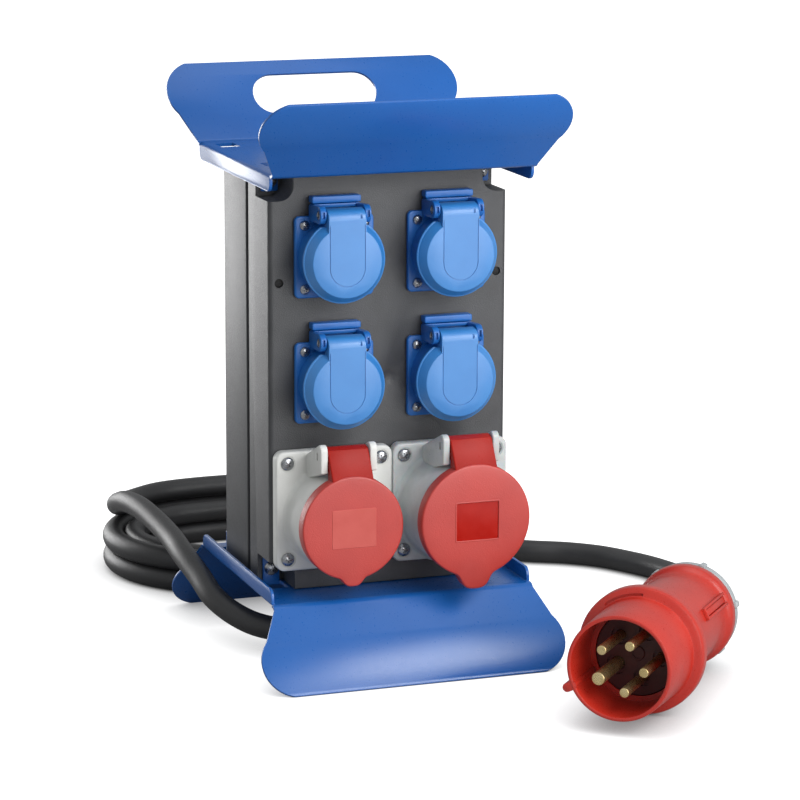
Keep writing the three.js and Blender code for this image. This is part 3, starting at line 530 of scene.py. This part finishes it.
seal_rubber = mottled("seal_rubber", (16, 16, 16), (24, 24, 24), 12, 0.8, 0.05, 0.6, 0.8)
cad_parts["shell_seal"].data.materials.clear()
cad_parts["shell_seal"].data.materials.append(seal_rubber)
terminal_grey = mottled("terminal_plastic", (120, 126, 122), (138, 143, 139), 18, 0.8, 0.04, 0.4, 0.55)
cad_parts["terminal_block"].data.materials.clear()
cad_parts["terminal_block"].data.materials.append(terminal_grey)

for hand, across in (("left", -70), ("right", 70)):
    port_plug = rod(f"port_plug_{hand}", 2.7, -46.4, -44.6, (across, 240), 32)
    soften(port_plug, 0.5, 2)
    settle(port_plug, "box", seal_rubber, "seal_rubber")

# ---------------------------------------------------------------------------------------------
# Screws: zinc-plated pan heads with a cross recess. Eight hold the frames to the enclosure by
# their tabs, eight hold the three-phase sockets, and four small ones hold each outlet.
zinc = mottled("bright_zinc", (148, 150, 153), (188, 190, 193), 3, 0.5, 0.01, 0.2, 0.34)
zinc.node_tree.nodes["Principled BSDF"].inputs["Metallic"].default_value = 1.0


def turned(name, outline, sides=64):
    """Turned about Z from pairs of radius and height; equal first and last pairs make a tube."""
    let_go()
    radius, height = outline[0]
    bpy.ops.mesh.primitive_circle_add(vertices=sides, radius=radius * MM, location=(0, 0, height * MM))
    piece = bpy.context.object
    piece.name = name
    bpy.ops.object.transform_apply(location=True, rotation=True, scale=True)
    bpy.ops.object.mode_set(mode="EDIT")
    bpy.ops.mesh.select_all(action="SELECT")
    tube = outline[0] == outline[-1]
    if not tube:
        bpy.ops.mesh.edge_face_add()
        pick(piece, lambda at: True)
        bpy.ops.mesh.select_mode(type="EDGE")
        bpy.ops.mesh.region_to_loop()
    for radius_next, height_next in outline[1:]:
        bpy.ops.mesh.extrude_edges_move(TRANSFORM_OT_translate={"value": (0, 0, (height_next - height) * MM)})
        bpy.ops.transform.resize(value=(radius_next / radius, radius_next / radius, 1),
                                 center_override=(0, 0, height_next * MM))
        radius, height = radius_next, height_next
    if not tube:
        bpy.ops.mesh.edge_face_add()
    bpy.ops.mesh.select_mode(type="VERT")
    bpy.ops.mesh.select_all(action="SELECT")
    bpy.ops.mesh.remove_doubles(threshold=0.000001)
    bpy.ops.mesh.normals_make_consistent(inside=False)
    bpy.ops.object.mode_set(mode="OBJECT")
    return piece


def pan_screw(name, head, dome, shank, length):
    """Drawn facing up, with its seat at the origin."""
    outline = [(shank * 0.5, -length), (shank, -length + 1.2), (shank, -0.01), (head * 0.96, 0),
               (head, dome * 0.12)]
    for step in range(1, 7):
        angle = math.radians(90 * step / 6.6)
        outline.append((head * math.cos(angle), dome * (0.12 + 0.88 * math.sin(angle))))
    screw = turned(name, outline, 36)
    for turn in (0, 90):
        blade = drawn_out("blade", round_corners(head * 0.55, head * 0.11, head * 0.1, 3), dome)
        bpy.ops.object.mode_set(mode="EDIT")
        pick(blade, lambda at: at.z < 0.01)
        bpy.ops.transform.resize(value=(0.5, 0.7, 1), center_override=(0, 0, 0))
        bpy.ops.object.mode_set(mode="OBJECT")
        blade.rotation_euler = (0, 0, math.radians(turn))
        stand(blade, "up", (0, 0, dome * 0.25))
        carve(screw, blade)
    return screw


def another(piece, name, move):
    """A copy with its own mesh, moved by a matrix."""
    twin = piece.copy()
    twin.data = piece.data.copy()
    twin.name = name
    twin.data.transform(move)
    bpy.context.collection.objects.link(twin)
    return twin


def shift(across, depth, height):
    return Matrix.Translation(Vector((across, depth, height)) * MM)


frame_screw = pan_screw("frame_screw", 4.6, 2.6, 2.2, 8.5)
lay = 0
for level, height in (("top", 308.1 - 8.75), ("bottom", 48.2 + 8.75)):
    for hand, side in (("left", -1), ("right", 1)):
        for end, across, depth, about in (("front", 68.3, -24.1, 0), ("rear", 70.3, 50.1, math.pi)):
            lay += 1
            node = f"frame_screw_{level}_{end}_{hand}"
            move = (shift(side * across, depth, height) @ Matrix.Rotation(about, 4, "Z")
                    @ facings["front"] @ Matrix.Rotation(lay * 0.7, 4, "Z"))
            settle(another(frame_screw, f"{node}_fine", move), "box", zinc, "screw_steel", node)
bpy.data.objects.remove(frame_screw)

# ---------------------------------------------------------------------------------------------
# Single-phase outlets: a square flange with a short collar, two hinge cheeks under a roof bar, and
# a cup with two contact holes and two earth springs. The sprung lid is a shallow cone whose tongue
# is let in flush. One is made, and copied to the four places.
outlet_blue = mottled("outlet_plastic", (24, 96, 172), (32, 106, 184), 16, 0.7, 0.03, 0.3, 0.42)
lid_blue = mottled("outlet_lid_plastic", (42, 120, 190), (50, 128, 198), 20, 0.6, 0.025, 0.36, 0.5, 0.95)
outlet_face = 51.3


def merge(name, *parts):
    take(parts[0])
    for part in parts[1:]:
        part.select_set(True)
    bpy.ops.object.join()
    bpy.context.object.name = name
    return bpy.context.object


def arc(middle, radius, start, end, steps):
    return [(middle[0] + radius * math.cos(math.radians(start + (end - start) * step / steps)),
             middle[1] + radius * math.sin(math.radians(start + (end - start) * step / steps)))
            for step in range(steps + 1)]


plate = soften(drawn_out("plate", round_corners(25, 25, 3, 6), 3.5), 0.9, 3)
stand(plate, "front", (0, -47.8, 0))
carve(plate, rod("bore", 22.2, -60, -30, (0, 0), 64))
collar = turned("collar", [(21.7, 33.5), (23, 33.5), (23, 67.3), (22.8, 67.8), (22.5, 68), (22.1, 68),
                           (21.8, 67.8), (21.7, 67.4), (21.7, 33.5)], 72)
stand(collar, "front")
roof = soften(drawn_out("roof", round_corners(15.4, 2.1, 0.9, 4, (0, 35.2)), 7.6), 0.6, 3)
stand(roof, "front", (0, -48.2, 0))
roof_lip = soften(drawn_out("roof_lip", round_corners(14.6, 1.1, 0.5, 3, (0, 31.6)), 8.2), 0.35, 2)
stand(roof_lip, "front", (0, -48.2, 0))
web = soften(drawn_out("web", round_corners(15.4, 5, 0.8, 3, (0, 26)), 6.0), 0.4, 2)
stand(web, "front", (0, -48.2, 0))
hinge = (-outlet_face - 17, 28)
cheeks = []
for side in (-1, 1):
    outline = [(-outlet_face + 1, 22.5), *arc(hinge, 5.4, -95, -275, 14), (-outlet_face + 1, 32)]
    cheek = soften(drawn_out("cheek", outline, 3.9), 0.45, 2)
    stand(cheek, "side", (12.1 if side > 0 else -16, 0, 0))
    let_go()
    bpy.ops.mesh.primitive_cylinder_add(
        vertices=28, radius=2.9 * MM, depth=2.4 * MM, rotation=(0, math.pi / 2, 0),
        location=(side * 16 * MM, hinge[0] * MM, hinge[1] * MM))
    eyelet = bpy.context.object
    bpy.ops.object.transform_apply(location=True, rotation=True, scale=True)
    slot = block("slot", sorted((side * 13.2, side * 14.9)), (-80, -72), (26.4, 30.4))
    cheeks.append(carve(cheek, eyelet, slot))
outlet_housing = merge("outlet_housing", plate, collar, roof, roof_lip, web, *cheeks)

cup = turned("cup", [(21.4, 41.5), (21.4, 66.6), (21.1, 67), (20.1, 67), (19.8, 66.6), (19.8, 50.3),
                     (19.0, 49.5)], 72)
stand(cup, "front")
for across in (-9.5, 9.5):
    carve(cup, rod("contact_hole", 2.9, -60, -30, (across, 0), 28))
for side in (-1, 1):
    rib = soften(block("rib", sorted((side * 17.2, side * 20.4)), (-64, -44), (-2.6, 2.6)), 0.5, 2)
    cup = merge("cup", cup, rib)
outlet_insert = cup
clips = []
for side in (-1, 1):
    clip = block("clip", (-2.2, 2.2), (-64.5, -49), sorted((side * 17.4, side * 18.3)))
    bpy.ops.object.mode_set(mode="EDIT")
    pick(clip, lambda at: at.y < -60)
    bpy.ops.transform.translate(value=(0, 0, side * 1.6 * MM))
    bpy.ops.mesh.extrude_region_move(TRANSFORM_OT_translate={"value": (0, -0.6 * MM, side * 0.9 * MM)})
    bpy.ops.object.mode_set(mode="OBJECT")
    clips.append(soften(clip, 0.25, 2))
outlet_clips = merge("outlet_clips", *clips)

cap_front, cap_back = outlet_face + 25, outlet_face + 17
cap = turned("cap", [(19, cap_back + 3), (19, cap_back), (25.4, cap_back), (25.9, cap_back + 0.4),
                     (26, cap_back + 1.1), (25.7, cap_back + 1.7), (25.1, cap_back + 2.0),
                     (22.0, cap_front - 0.7), (21.6, cap_front - 0.2), (21.0, cap_front)], 96)
stand(cap, "front")
for side in (-1, 1):
    carve(cap, block("notch", sorted((side * 11.8, side * 16.3)), (-90, -51), (21, 40)))
tongue = drawn_out("tongue", [
    (-cap_front, 6), (-cap_front, 25.5), *arc((-cap_front + 6, 25.5), 6, 180, 92, 8),
    *arc(hinge, 4, 88, -88, 10), (-cap_front + 4, 20), (-cap_front + 4, 6)], 23.5)
stand(soften(tongue, 0.5, 3, 40), "side", (-11.75, 0, 0))
slit = block("slit", (8.0, 9.3), (-90, -cap_front + 1.2), (26.2, 33))
carve(tongue, slit)
carve(cap, tongue, how="UNION")
groove_half, groove_wide, groove_deep = 11.3, 0.55, 0.45
groove, inside = (
    drawn_out("groove", [(half, 22.5), (-half, 22.5), *arc((0, -3.5), half, 180, 360, 28)], depth)
    for half, depth in ((groove_half, 2), (groove_half - groove_wide, 4)))
stand(inside, "up", (0, 0, -1))
carve(groove, inside)
stand(groove, "front", (0, -cap_front + groove_deep, 0))
carve(cap, groove)
outlet_lid = cap

let_go()
bpy.ops.mesh.primitive_cylinder_add(
    vertices=28, radius=1.5 * MM, depth=30.6 * MM, rotation=(0, math.pi / 2, 0),
    location=(0, hinge[0] * MM, hinge[1] * MM))
outlet_pin = bpy.context.object
bpy.ops.object.transform_apply(location=True, rotation=True, scale=True)
soften(outlet_pin, 0.4, 2)
coils = []
for turn in range(3):
    let_go()
    bpy.ops.mesh.primitive_torus_add(major_radius=2.3 * MM, minor_radius=0.42 * MM, major_segments=32,
                                     minor_segments=10, rotation=(0, math.pi / 2 + 0.12, 0),
                                     location=((-15.6 + turn * 0.75) * MM, hinge[0] * MM, hinge[1] * MM))
    bpy.ops.object.transform_apply(location=True, rotation=True, scale=True)
    coils.append(bpy.context.object)
outlet_spring = merge("outlet_spring", *coils)
outlet_screw = pan_screw("outlet_screw", 3.1, 2.0, 1.5, 9)

for place, (across, height) in outlet_places.items():
    move = shift(across, 0, height)
    settle(another(outlet_housing, f"{place}_body", move), "box", outlet_blue, "outlet_blue",
           f"{place}_housing")
    settle(another(outlet_insert, f"{place}_cup", move), "box", outlet_blue, "outlet_blue",
           f"{place}_insert")
    settle(another(outlet_clips, f"{place}_earth_springs", move), "box", zinc, "screw_steel")
    settle(another(outlet_lid, f"{place}_cap", move), f"{place}_cover", lid_blue, "outlet_blue",
           f"{place}_lid")
    settle(another(outlet_pin, f"{place}_pin", move), "box", zinc, "screw_steel", f"{place}_hinge_pin")
    settle(another(outlet_spring, f"{place}_lid_spring", move), "box", zinc, "screw_steel")
    for corner, side_x, side_z in (("top_left", -1, 1), ("top_right", 1, 1),
                                   ("bottom_left", -1, -1), ("bottom_right", 1, -1)):
        lay += 1
        spot = (shift(across + side_x * 19, -outlet_face - 0.05, height + side_z * 19.5) @ facings["front"]
                @ Matrix.Rotation(lay * 0.9, 4, "Z"))
        settle(another(outlet_screw, f"{place}_screw_{corner}", spot), "box", zinc, "screw_steel")
for pattern in (outlet_housing, outlet_insert, outlet_clips, outlet_lid, outlet_pin, outlet_spring,
                outlet_screw):
    bpy.data.objects.remove(pattern)

# ---------------------------------------------------------------------------------------------
# Three-phase sockets: a thick square flange with a screw in each corner, a round collar, and two
# wedge-shaped hinge cheeks, moulded in one. The smaller is light grey; the larger is a cooler,
# smoother grey. A red lid with a thumb tab and a label field hangs between the cheeks of each.
socket_grey = mottled("socket_plastic", (210, 211, 207), (220, 221, 217), 18, 1.1, 0.07, 0.42, 0.58)
socket_smoke = mottled("smoke_plastic", (180, 184, 184), (198, 201, 201), 14, 0.8, 0.03, 0.26, 0.4)
smoke_shader = socket_smoke.node_tree.nodes["Principled BSDF"]
smoke_shader.inputs["Subsurface Weight"].default_value = 0.2
smoke_shader.inputs["Subsurface Scale"].default_value = 0.004
lid_red = mottled("lid_plastic", (174, 40, 31), (186, 48, 38), 22, 0.7, 0.13, 0.4, 0.55, 0.9)
arm_red = mottled("arm_plastic", (150, 27, 19), (162, 33, 24), 18, 1.2, 0.03, 0.26, 0.36, 0.12)
label_pink = mottled("label_plastic", (188, 76, 68), (196, 86, 78), 14, 0.8, 0.04, 0.4, 0.5)
label_gloss = mottled("label_gloss", (160, 24, 16), (172, 30, 21), 12, 6.0, 0.02, 0.12, 0.2)
insert_dark = mottled("insert_plastic", (62, 64, 66), (74, 76, 78), 12, 0.7, 0.04, 0.4, 0.55)
socket_face = 55.8
sockets = {
    "socket_16a": dict(across=-37.6, collar=31, bore=27.6, post=21.5, length=26.7, drop=4, lid=32, arm=13,
                       pin_out=21, pin_up=38.5, cheek_thick=4.5, cheek_out=28, cheek_top=46,
                       cheek_low=29, tab=4.2, tab_turn=11, hole=3, finish=socket_grey),
    "socket_32a": dict(across=37.6, collar=34, bore=30.6, post=25, length=36.7, drop=3, lid=35, arm=13.5,
                       pin_out=31, pin_up=42, cheek_thick=4.3, cheek_out=37, cheek_top=49,
                       cheek_low=31, tab=7.6, tab_turn=14.5, hole=3.5, finish=socket_smoke),
}
socket_screw = pan_screw("socket_screw", 4.2, 2.3, 2.0, 11)
for place, s in sockets.items():
    across, low = s["across"], 100 - s["drop"]
    flange = soften(drawn_out("flange", round_corners(37.3, 37.3, 5.5, 7), 8), 1.3, 4)
    stand(flange, "front", (across, -47.8, 100))
    for side_x in (-30, 30):
        for side_z in (-30, 30):
            carve(flange, rod("seat", 5.0, -58, -socket_face + 0.5, (across + side_x, 100 + side_z), 32))
    carve(flange, rod("bore", s["bore"] + 1, -70, -30, (across, low), 72))
    front = socket_face + s["length"]
    outer = s["collar"]
    ring = turned("ring", [(s["bore"], 24), (s["bore"] + 2, 24), (s["bore"] + 2, 50), (outer + 3.2, 55.4),
                           (outer + 2.0, 56.0), (outer + 0.9, 57.0), (outer + 0.3, 58.6), (outer, 60.6),
                           (outer, front - 0.7), (outer - 0.3, front - 0.2), (outer - 0.8, front),
                           (s["bore"] + 0.6, front), (s["bore"] + 0.1, front - 0.4), (s["bore"], front - 1),
                           (s["bore"], 24)], 96)
    stand(ring, "front", (across, 0, low))
    parts = [flange, ring]
    inner = s["arm"] + 0.4
    for side in (-1, 1):
        edge = -socket_face - s["cheek_out"]
        outline = [(-socket_face + 1, 20), (edge, s["cheek_low"]),
                   *arc((edge + 4, s["cheek_top"] - 4), 4, 180, 75, 6), (-socket_face + 1, 35)]
        cheek = soften(drawn_out("cheek", outline, s["cheek_thick"]), 0.8, 3)
        start = inner if side > 0 else -inner - s["cheek_thick"]
        stand(cheek, "side", (across + start, 0, 100))
        outer_face = across + side * (inner + s["cheek_thick"])
        eye_hole = block("eye_hole", sorted((outer_face - side * 2.0, outer_face + side * 2)),
                         (-socket_face - s["pin_out"] - 1.5, -socket_face - s["pin_out"] + 1.5),
                         (100 + s["pin_up"] - 2.4, 100 + s["pin_up"] + 2.0))
        carve(cheek, eye_hole)
        parts.append(cheek)
    body = merge(f"{place}_body", *parts)
    settle(body, "box", s["finish"], "socket_grey" if place == "socket_16a" else "socket_smoke",
           f"{place}_housing")

    post = turned("post", [(s["bore"] - 0.3, 25), (s["bore"] - 0.3, 32.5), (s["post"], 33.5),
                           (s["post"], front - 9), (s["post"] - 0.3, front - 8.3),
                           (s["post"] - 1, front - 8)], 72)
    stand(post, "front", (across, 0, low))
    for contact in range(5):
        angle = -math.pi / 2 + contact * math.pi * 0.4
        circle = s["post"] * 0.64
        carve(post, rod("contact", s["hole"] + (0 if contact else 1), -120, -45,
                        (across + circle * math.cos(angle), low + circle * math.sin(angle)), 32))
    carve(post, block("key", (across - 2.2, across + 2.2), (-120, -60),
                      (low + s["post"] - 1.6, low + s["post"] + 3)))
    settle(post, "box", insert_dark, "socket_grey", f"{place}_insert")

    back = front + 0.3
    outline = []
    for step in range(144):
        angle = math.radians(step * 2.5)
        away = abs((math.degrees(angle) - 270 + 180) % 360 - 180) / s["tab_turn"]
        radius = s["lid"] + s["tab"] * math.exp(-away ** 4)
        outline.append((radius * math.cos(angle), radius * math.sin(angle) - s["drop"]))
    disc = drawn_out("disc", outline, 9)
    bpy.ops.object.mode_set(mode="EDIT")
    pick(disc, lambda at: at.z > 8.9)
    crown = 0.6 if place == "socket_16a" else 1.0
    for shrink, rise in ((0.965, 0.22), (0.92, 0.27), (0.84, 0.25), (0.7, 0.18)):
        bpy.ops.mesh.extrude_region_move(TRANSFORM_OT_translate={"value": (0, 0, rise * crown * MM)})
        bpy.ops.transform.resize(value=(shrink, shrink, 1), center_override=(0, -s["drop"] * MM, 0))
    bpy.ops.object.mode_set(mode="OBJECT")
    soften(disc, 0.9, 3, 50)
    stand(disc, "front", (across, -back, 100))
    carve(disc, rod("recess", outer - 6, -back - 4, -back + 5, (across, low), 72))
    face = -back - 9 - (0.55 if place == "socket_16a" else 0.92)
    if place == "socket_16a":
        label = soften(drawn_out("label", round_corners(14, 12, 0.8, 4), 1.6), 0.25, 1)
        stand(label, "front", (across + 0.3, face + 1.35, low))
    else:
        carve(disc, stand(drawn_out("field", round_corners(13.6, 11.8, 0.8, 4), 3), "front",
                          (across + 0.6, face + 0.75, low)))
        label = drawn_out("label", round_corners(13.5, 11.7, 0.8, 4), 0.8)
        stand(label, "front", (across + 0.6, face + 1.35, low))
        rim = drawn_out("rim", round_corners(14.4, 12.6, 1.1, 4), 1.4)
        carve(rim, stand(drawn_out("hole", round_corners(13.5, 11.7, 0.7, 4), 5), "up", (0, 0, -1)))
        stand(soften(rim, 0.25, 2), "front", (across + 0.6, face + 1.15, low))
        disc = merge("disc", disc, rim)
    barrel = (-socket_face - s["pin_out"], s["pin_up"])
    arm = drawn_out("arm", [
        (-back - 8.7, s["lid"] - s["drop"] - 9), (-back - 8.7, s["lid"] - s["drop"] - 1.6),
        (barrel[0] - 5, s["pin_up"] + 4), *arc(barrel, 5.5, 110, -90, 14),
        (-back + 1, s["lid"] - s["drop"] + 1), (-back + 1, s["lid"] - s["drop"] - 9)], 2 * s["arm"])
    stand(soften(arm, 0.8, 3, 40), "side", (across - s["arm"], 0, 100))
    disc.name, arm.name = f"{place}_cap", f"{place}_cap_arm"
    settle(disc, f"{place}_cover", lid_red, "lid_red", f"{place}_lid")
    settle(arm, f"{place}_cover", arm_red, "lid_red")
    settle(label, f"{place}_cover", label_pink if place == "socket_16a" else label_gloss, "lid_red")
    label.name = f"{place}_label_field"

    half = s["arm"] + s["cheek_thick"] + 0.3
    let_go()
    bpy.ops.mesh.primitive_cylinder_add(vertices=28, radius=1.5 * MM, depth=2 * (half - 2) * MM,
                                        rotation=(0, math.pi / 2, 0),
                                        location=(across * MM, barrel[0] * MM, (100 + barrel[1]) * MM))
    hinge_pin = bpy.context.object
    hinge_pin.name = f"{place}_pin"
    bpy.ops.object.transform_apply(location=True, rotation=True, scale=True)
    settle(soften(hinge_pin, 0.4, 2), "box", zinc, "screw_steel", f"{place}_hinge_pin")
    for corner, side_x, side_z in (("top_left", -30, 30), ("top_right", 30, 30),
                                   ("bottom_left", -30, -30), ("bottom_right", 30, -30)):
        lay += 1
        spot = (shift(across + side_x, -socket_face + 0.45, 100 + side_z) @ facings["front"]
                @ Matrix.Rotation(lay * 1.1, 4, "Z"))
        settle(another(socket_screw, f"{place}_screw_{corner}_fine", spot), "box", zinc, "screw_steel",
               f"{place}_screw_{corner}")
bpy.data.objects.remove(socket_screw)

# ---------------------------------------------------------------------------------------------
# Elbow gland: black plastic, screwed up through the base plate into the enclosure. It turns the
# lead to the left, and its ribbed cap nut ends in a short tapered sleeve that eases the bend.
gland_black = mottled("gland_plastic", (26, 26, 27), (36, 36, 38), 10, 0.7, 0.04, 0.36, 0.5)
elbow = turned("elbow", [(12.2, 57), (12.2, 46), (14.8, 45.6), (15.2, 45), (15.2, 43), (12.6, 42.6),
                         (12.6, 36)], 40)
bpy.ops.object.mode_set(mode="EDIT")
pick(elbow, lambda at: abs(at.z - 36) < 0.01)
bpy.ops.mesh.delete(type="ONLY_FACE")
pick(elbow, lambda at: abs(at.z - 36) < 0.01)
bpy.ops.mesh.spin(steps=10, angle=math.pi / 2, center=(-14 * MM, 0, 36 * MM), axis=(0, 1, 0))
bpy.ops.mesh.edge_face_add()
bpy.ops.mesh.select_all(action="SELECT")
bpy.ops.mesh.normals_make_consistent(inside=False)
bpy.ops.object.mode_set(mode="OBJECT")
stand(soften(elbow, 0.3, 2, 50), "up", (34, -31, 0))
settle(elbow, "box", gland_black, "gland_black", "cable_gland_elbow")

gland_nut = turned("gland_nut", [(7.6, 0), (13.6, 0), (14.5, 0.9), (14.5, 8), (12.4, 10), (11, 12),
                                 (9.2, 26), (8.6, 34), (7.9, 34.3), (7.6, 34), (7.6, 0)], 60)
for rib in range(12):
    cut = block("cut", (13.9, 17), (-1.1, 1.1), (-1, 7.2))
    cut.rotation_euler = (0, 0, rib * math.pi / 6)
    carve(gland_nut, stand(cut))
gland_nut.rotation_euler = (0, -math.pi / 2, 0)
stand(gland_nut, "up", (17, -31, 22))
settle(gland_nut, "box", gland_black, "gland_black", "cable_gland_nut")

# ---------------------------------------------------------------------------------------------
# Plug: a red five-pin plug. A shroud with its locating key and a stepped ring, a dark inner carrier
# with brass pins, a waisted handle with a catch and a flared end, and a grey cap nut with lugs.
plug_red = mottled("plug_plastic", (176, 38, 26), (186, 46, 32), 24, 0.9, 0.04, 0.26, 0.4, 0.7)
plug_red.node_tree.nodes["Principled BSDF"].inputs["Subsurface Weight"].default_value = 0.08
plug_red.node_tree.nodes["Principled BSDF"].inputs["Subsurface Scale"].default_value = 0.003
carrier_red = mottled("carrier_plastic", (58, 20, 22), (74, 26, 27), 10, 0.8, 0.04, 0.4, 0.55)
nut_grey = mottled("nut_plastic", (160, 166, 168), (176, 182, 184), 12, 0.8, 0.04, 0.34, 0.5)
brass = mottled("contact_brass", (206, 180, 120), (232, 212, 160), 6, 0.5, 0.01, 0.2, 0.34)
brass.node_tree.nodes["Principled BSDF"].inputs["Metallic"].default_value = 0.9
plug_place = (Matrix.Translation(plug_mouth * MM) @ Matrix.Rotation(-plug_heading, 4, "Z")
              @ Matrix.Rotation(-plug_dip, 4, "X") @ facings["front"])


def lay_plug(piece, material, slot, *nodes):
    """Plug pieces are drawn about Z, mouth at the origin and body below it, then laid in place."""
    take(piece)
    piece.matrix_world = plug_place @ piece.matrix_world
    bpy.ops.object.transform_apply(location=True, rotation=True, scale=True)
    return settle(piece, "box", material, slot, *nodes)


shroud = turned("plug_shroud_fine", [
    (28.8, -40), (28.8, -0.9), (29.0, -0.3), (29.5, 0), (30.6, 0), (31.1, -0.3), (31.3, -0.9), (31.9, -24),
    (32.3, -42.5), (32.9, -43.6), (34.4, -44.1), (36.4, -44.4), (37.7, -45.0), (38.3, -46.2), (38.4, -47.4),
    (38.4, -52.6), (38.1, -53.6), (37.2, -54), (25.8, -54), (25.8, -40), (28.8, -40)], 120)
key = soften(drawn_out("key", round_corners(4.4, 2.7, 2.69, 7), 43.6), 0.5, 2, 60)
key.matrix_world = (Matrix.Rotation(math.radians(205), 4, "Z") @ shift(32.2, 0, -43.8))
stand(key)
arc_cut = turned("arc_cut", [(33.4, -45.2), (34.9, -45.2), (34.9, -43), (33.4, -43), (33.4, -45.2)], 96)
for across, along in (((-60, 60), (-60, 0)), ((1, 60), (-1, 60)), ((-60, -22), (-1, 60))):
    carve(arc_cut, block("half_space", across, along, (-60, 0)))
carve(shroud, arc_cut)
shroud = merge("plug_shroud_fine", shroud, key)
lay_plug(shroud, plug_red, "plug_red", "plug_shroud")

carrier = turned("plug_carrier_fine", [(25.5, -54), (25.5, -40.4), (25.1, -40)], 96)
pin_spots = []
for pin in range(5):
    angle = math.radians(211 - pin * 72)
    spot = (14.6 * math.cos(angle), 14.6 * math.sin(angle))
    pin_spots.append(spot)
    well = turned("well", [(3.0 if pin else 4.0, -60), (3.3 if pin else 4.3, -41.5),
                           (5.4 if pin else 6.2, -41.5), (5.4 if pin else 6.2, -30)], 36)
    carve(carrier, stand(well, "up", (*spot, 0)))
hub = turned("hub", [(4.4, -42), (4.4, -39.6), (4.0, -39.2), (3.0, -39.2), (3.0, -40.6)], 36)
carrier = merge("plug_carrier_fine", carrier, hub)
lay_plug(carrier, carrier_red, "plug_dark", "plug_pin_carrier")

plug_parts = [shroud, carrier]
for pin, spot in enumerate(pin_spots):
    radius = 3.0 if pin else 4.0
    contact = turned("contact", [(radius, -54), (radius, -2.6), (radius - 0.25, -1.9), (radius - 0.8, -1.55),
                                 (radius - 1.4, -1.5)], 40)
    stand(contact, "up", (*spot, 0))
    contact.name = f"plug_pin_{pin}_fine" if pin else "plug_earth_pin_fine"
    lay_plug(contact, brass, "contact_brass", f"plug_pin_{pin}" if pin else "plug_earth_pin")
    plug_parts.append(contact)

handle = turned("plug_handle_fine", [
    (35.0, -54.3), (35.6, -54.8), (35.8, -55.8), (35.4, -56.8), (33.8, -58.2), (31.6, -59.4), (30.3, -61),
    (30.0, -64), (29.2, -90), (28.2, -115), (27.6, -128), (27.7, -132), (28.3, -134.8), (29.6, -137),
    (30.9, -138.2), (31.4, -139.6), (31.5, -141.5), (31.4, -145.6), (31.0, -146.6), (30.2, -147),
    (24, -147), (23.5, -146.6), (23.5, -137.3), (23.2, -137)], 120)
catch_turn = math.radians(28)
parts = [handle]
for offset in (-3.1, 3.1):
    ridge = soften(drawn_out("ridge", round_corners(1.9, 0.8, 0.7, 4, (29.0, offset)), 46), 0.4, 2)
    ridge.matrix_world = Matrix.Rotation(catch_turn, 4, "Z") @ shift(0, 0, -137.5)
    parts.append(stand(ridge))
end_ridge = soften(drawn_out("ridge", round_corners(1.8, 3.8, 0.8, 4, (29.6, 0)), 1.8), 0.4, 2)
end_ridge.matrix_world = Matrix.Rotation(catch_turn, 4, "Z") @ shift(0, 0, -93.2)
parts.append(stand(end_ridge))
tongue = soften(drawn_out("tongue", round_corners(1.2, 2.0, 0.6, 4, (28.6, 0)), 40), 0.3, 2)
tongue.matrix_world = Matrix.Rotation(catch_turn, 4, "Z") @ shift(0, 0, -137)
parts.append(stand(tongue))
handle = merge("plug_handle_fine", *parts)
lay_plug(handle, plug_red, "plug_red", "plug_handle")

cap_nut = turned("plug_cap_nut_fine", [
    (8.6, -147.3), (29.9, -147.3), (30.4, -147.8), (30.5, -148.6), (30.5, -155), (29.8, -156.2),
    (26.5, -163), (24.4, -168.8), (23.6, -169.8), (22.6, -170), (10.6, -170), (9.4, -169.4), (8.6, -168),
    (8.6, -147.3)], 96)
parts = [cap_nut]
for lug in range(6):
    grip = soften(drawn_out("grip", round_corners(1.9, 1.9, 0.9, 4, (30.2, 0)), 7.4), 0.4, 2)
    grip.matrix_world = Matrix.Rotation(math.radians(14 + lug * 60), 4, "Z") @ shift(0, 0, -155.2)
    parts.append(stand(grip))
cap_nut = merge("plug_cap_nut_fine", *parts)
lay_plug(cap_nut, nut_grey, "nut_grey", "plug_gland_nut")

bushing = turned("plug_bushing", [(7.4, -150), (10.4, -150), (10.5, -170), (9.9, -173), (8.7, -178),
                                  (8.2, -178.6), (7.4, -178.2), (7.4, -150)], 48)
lay_plug(bushing, seal_rubber, "seal_rubber")

plug_parts += [handle, cap_nut, bushing]
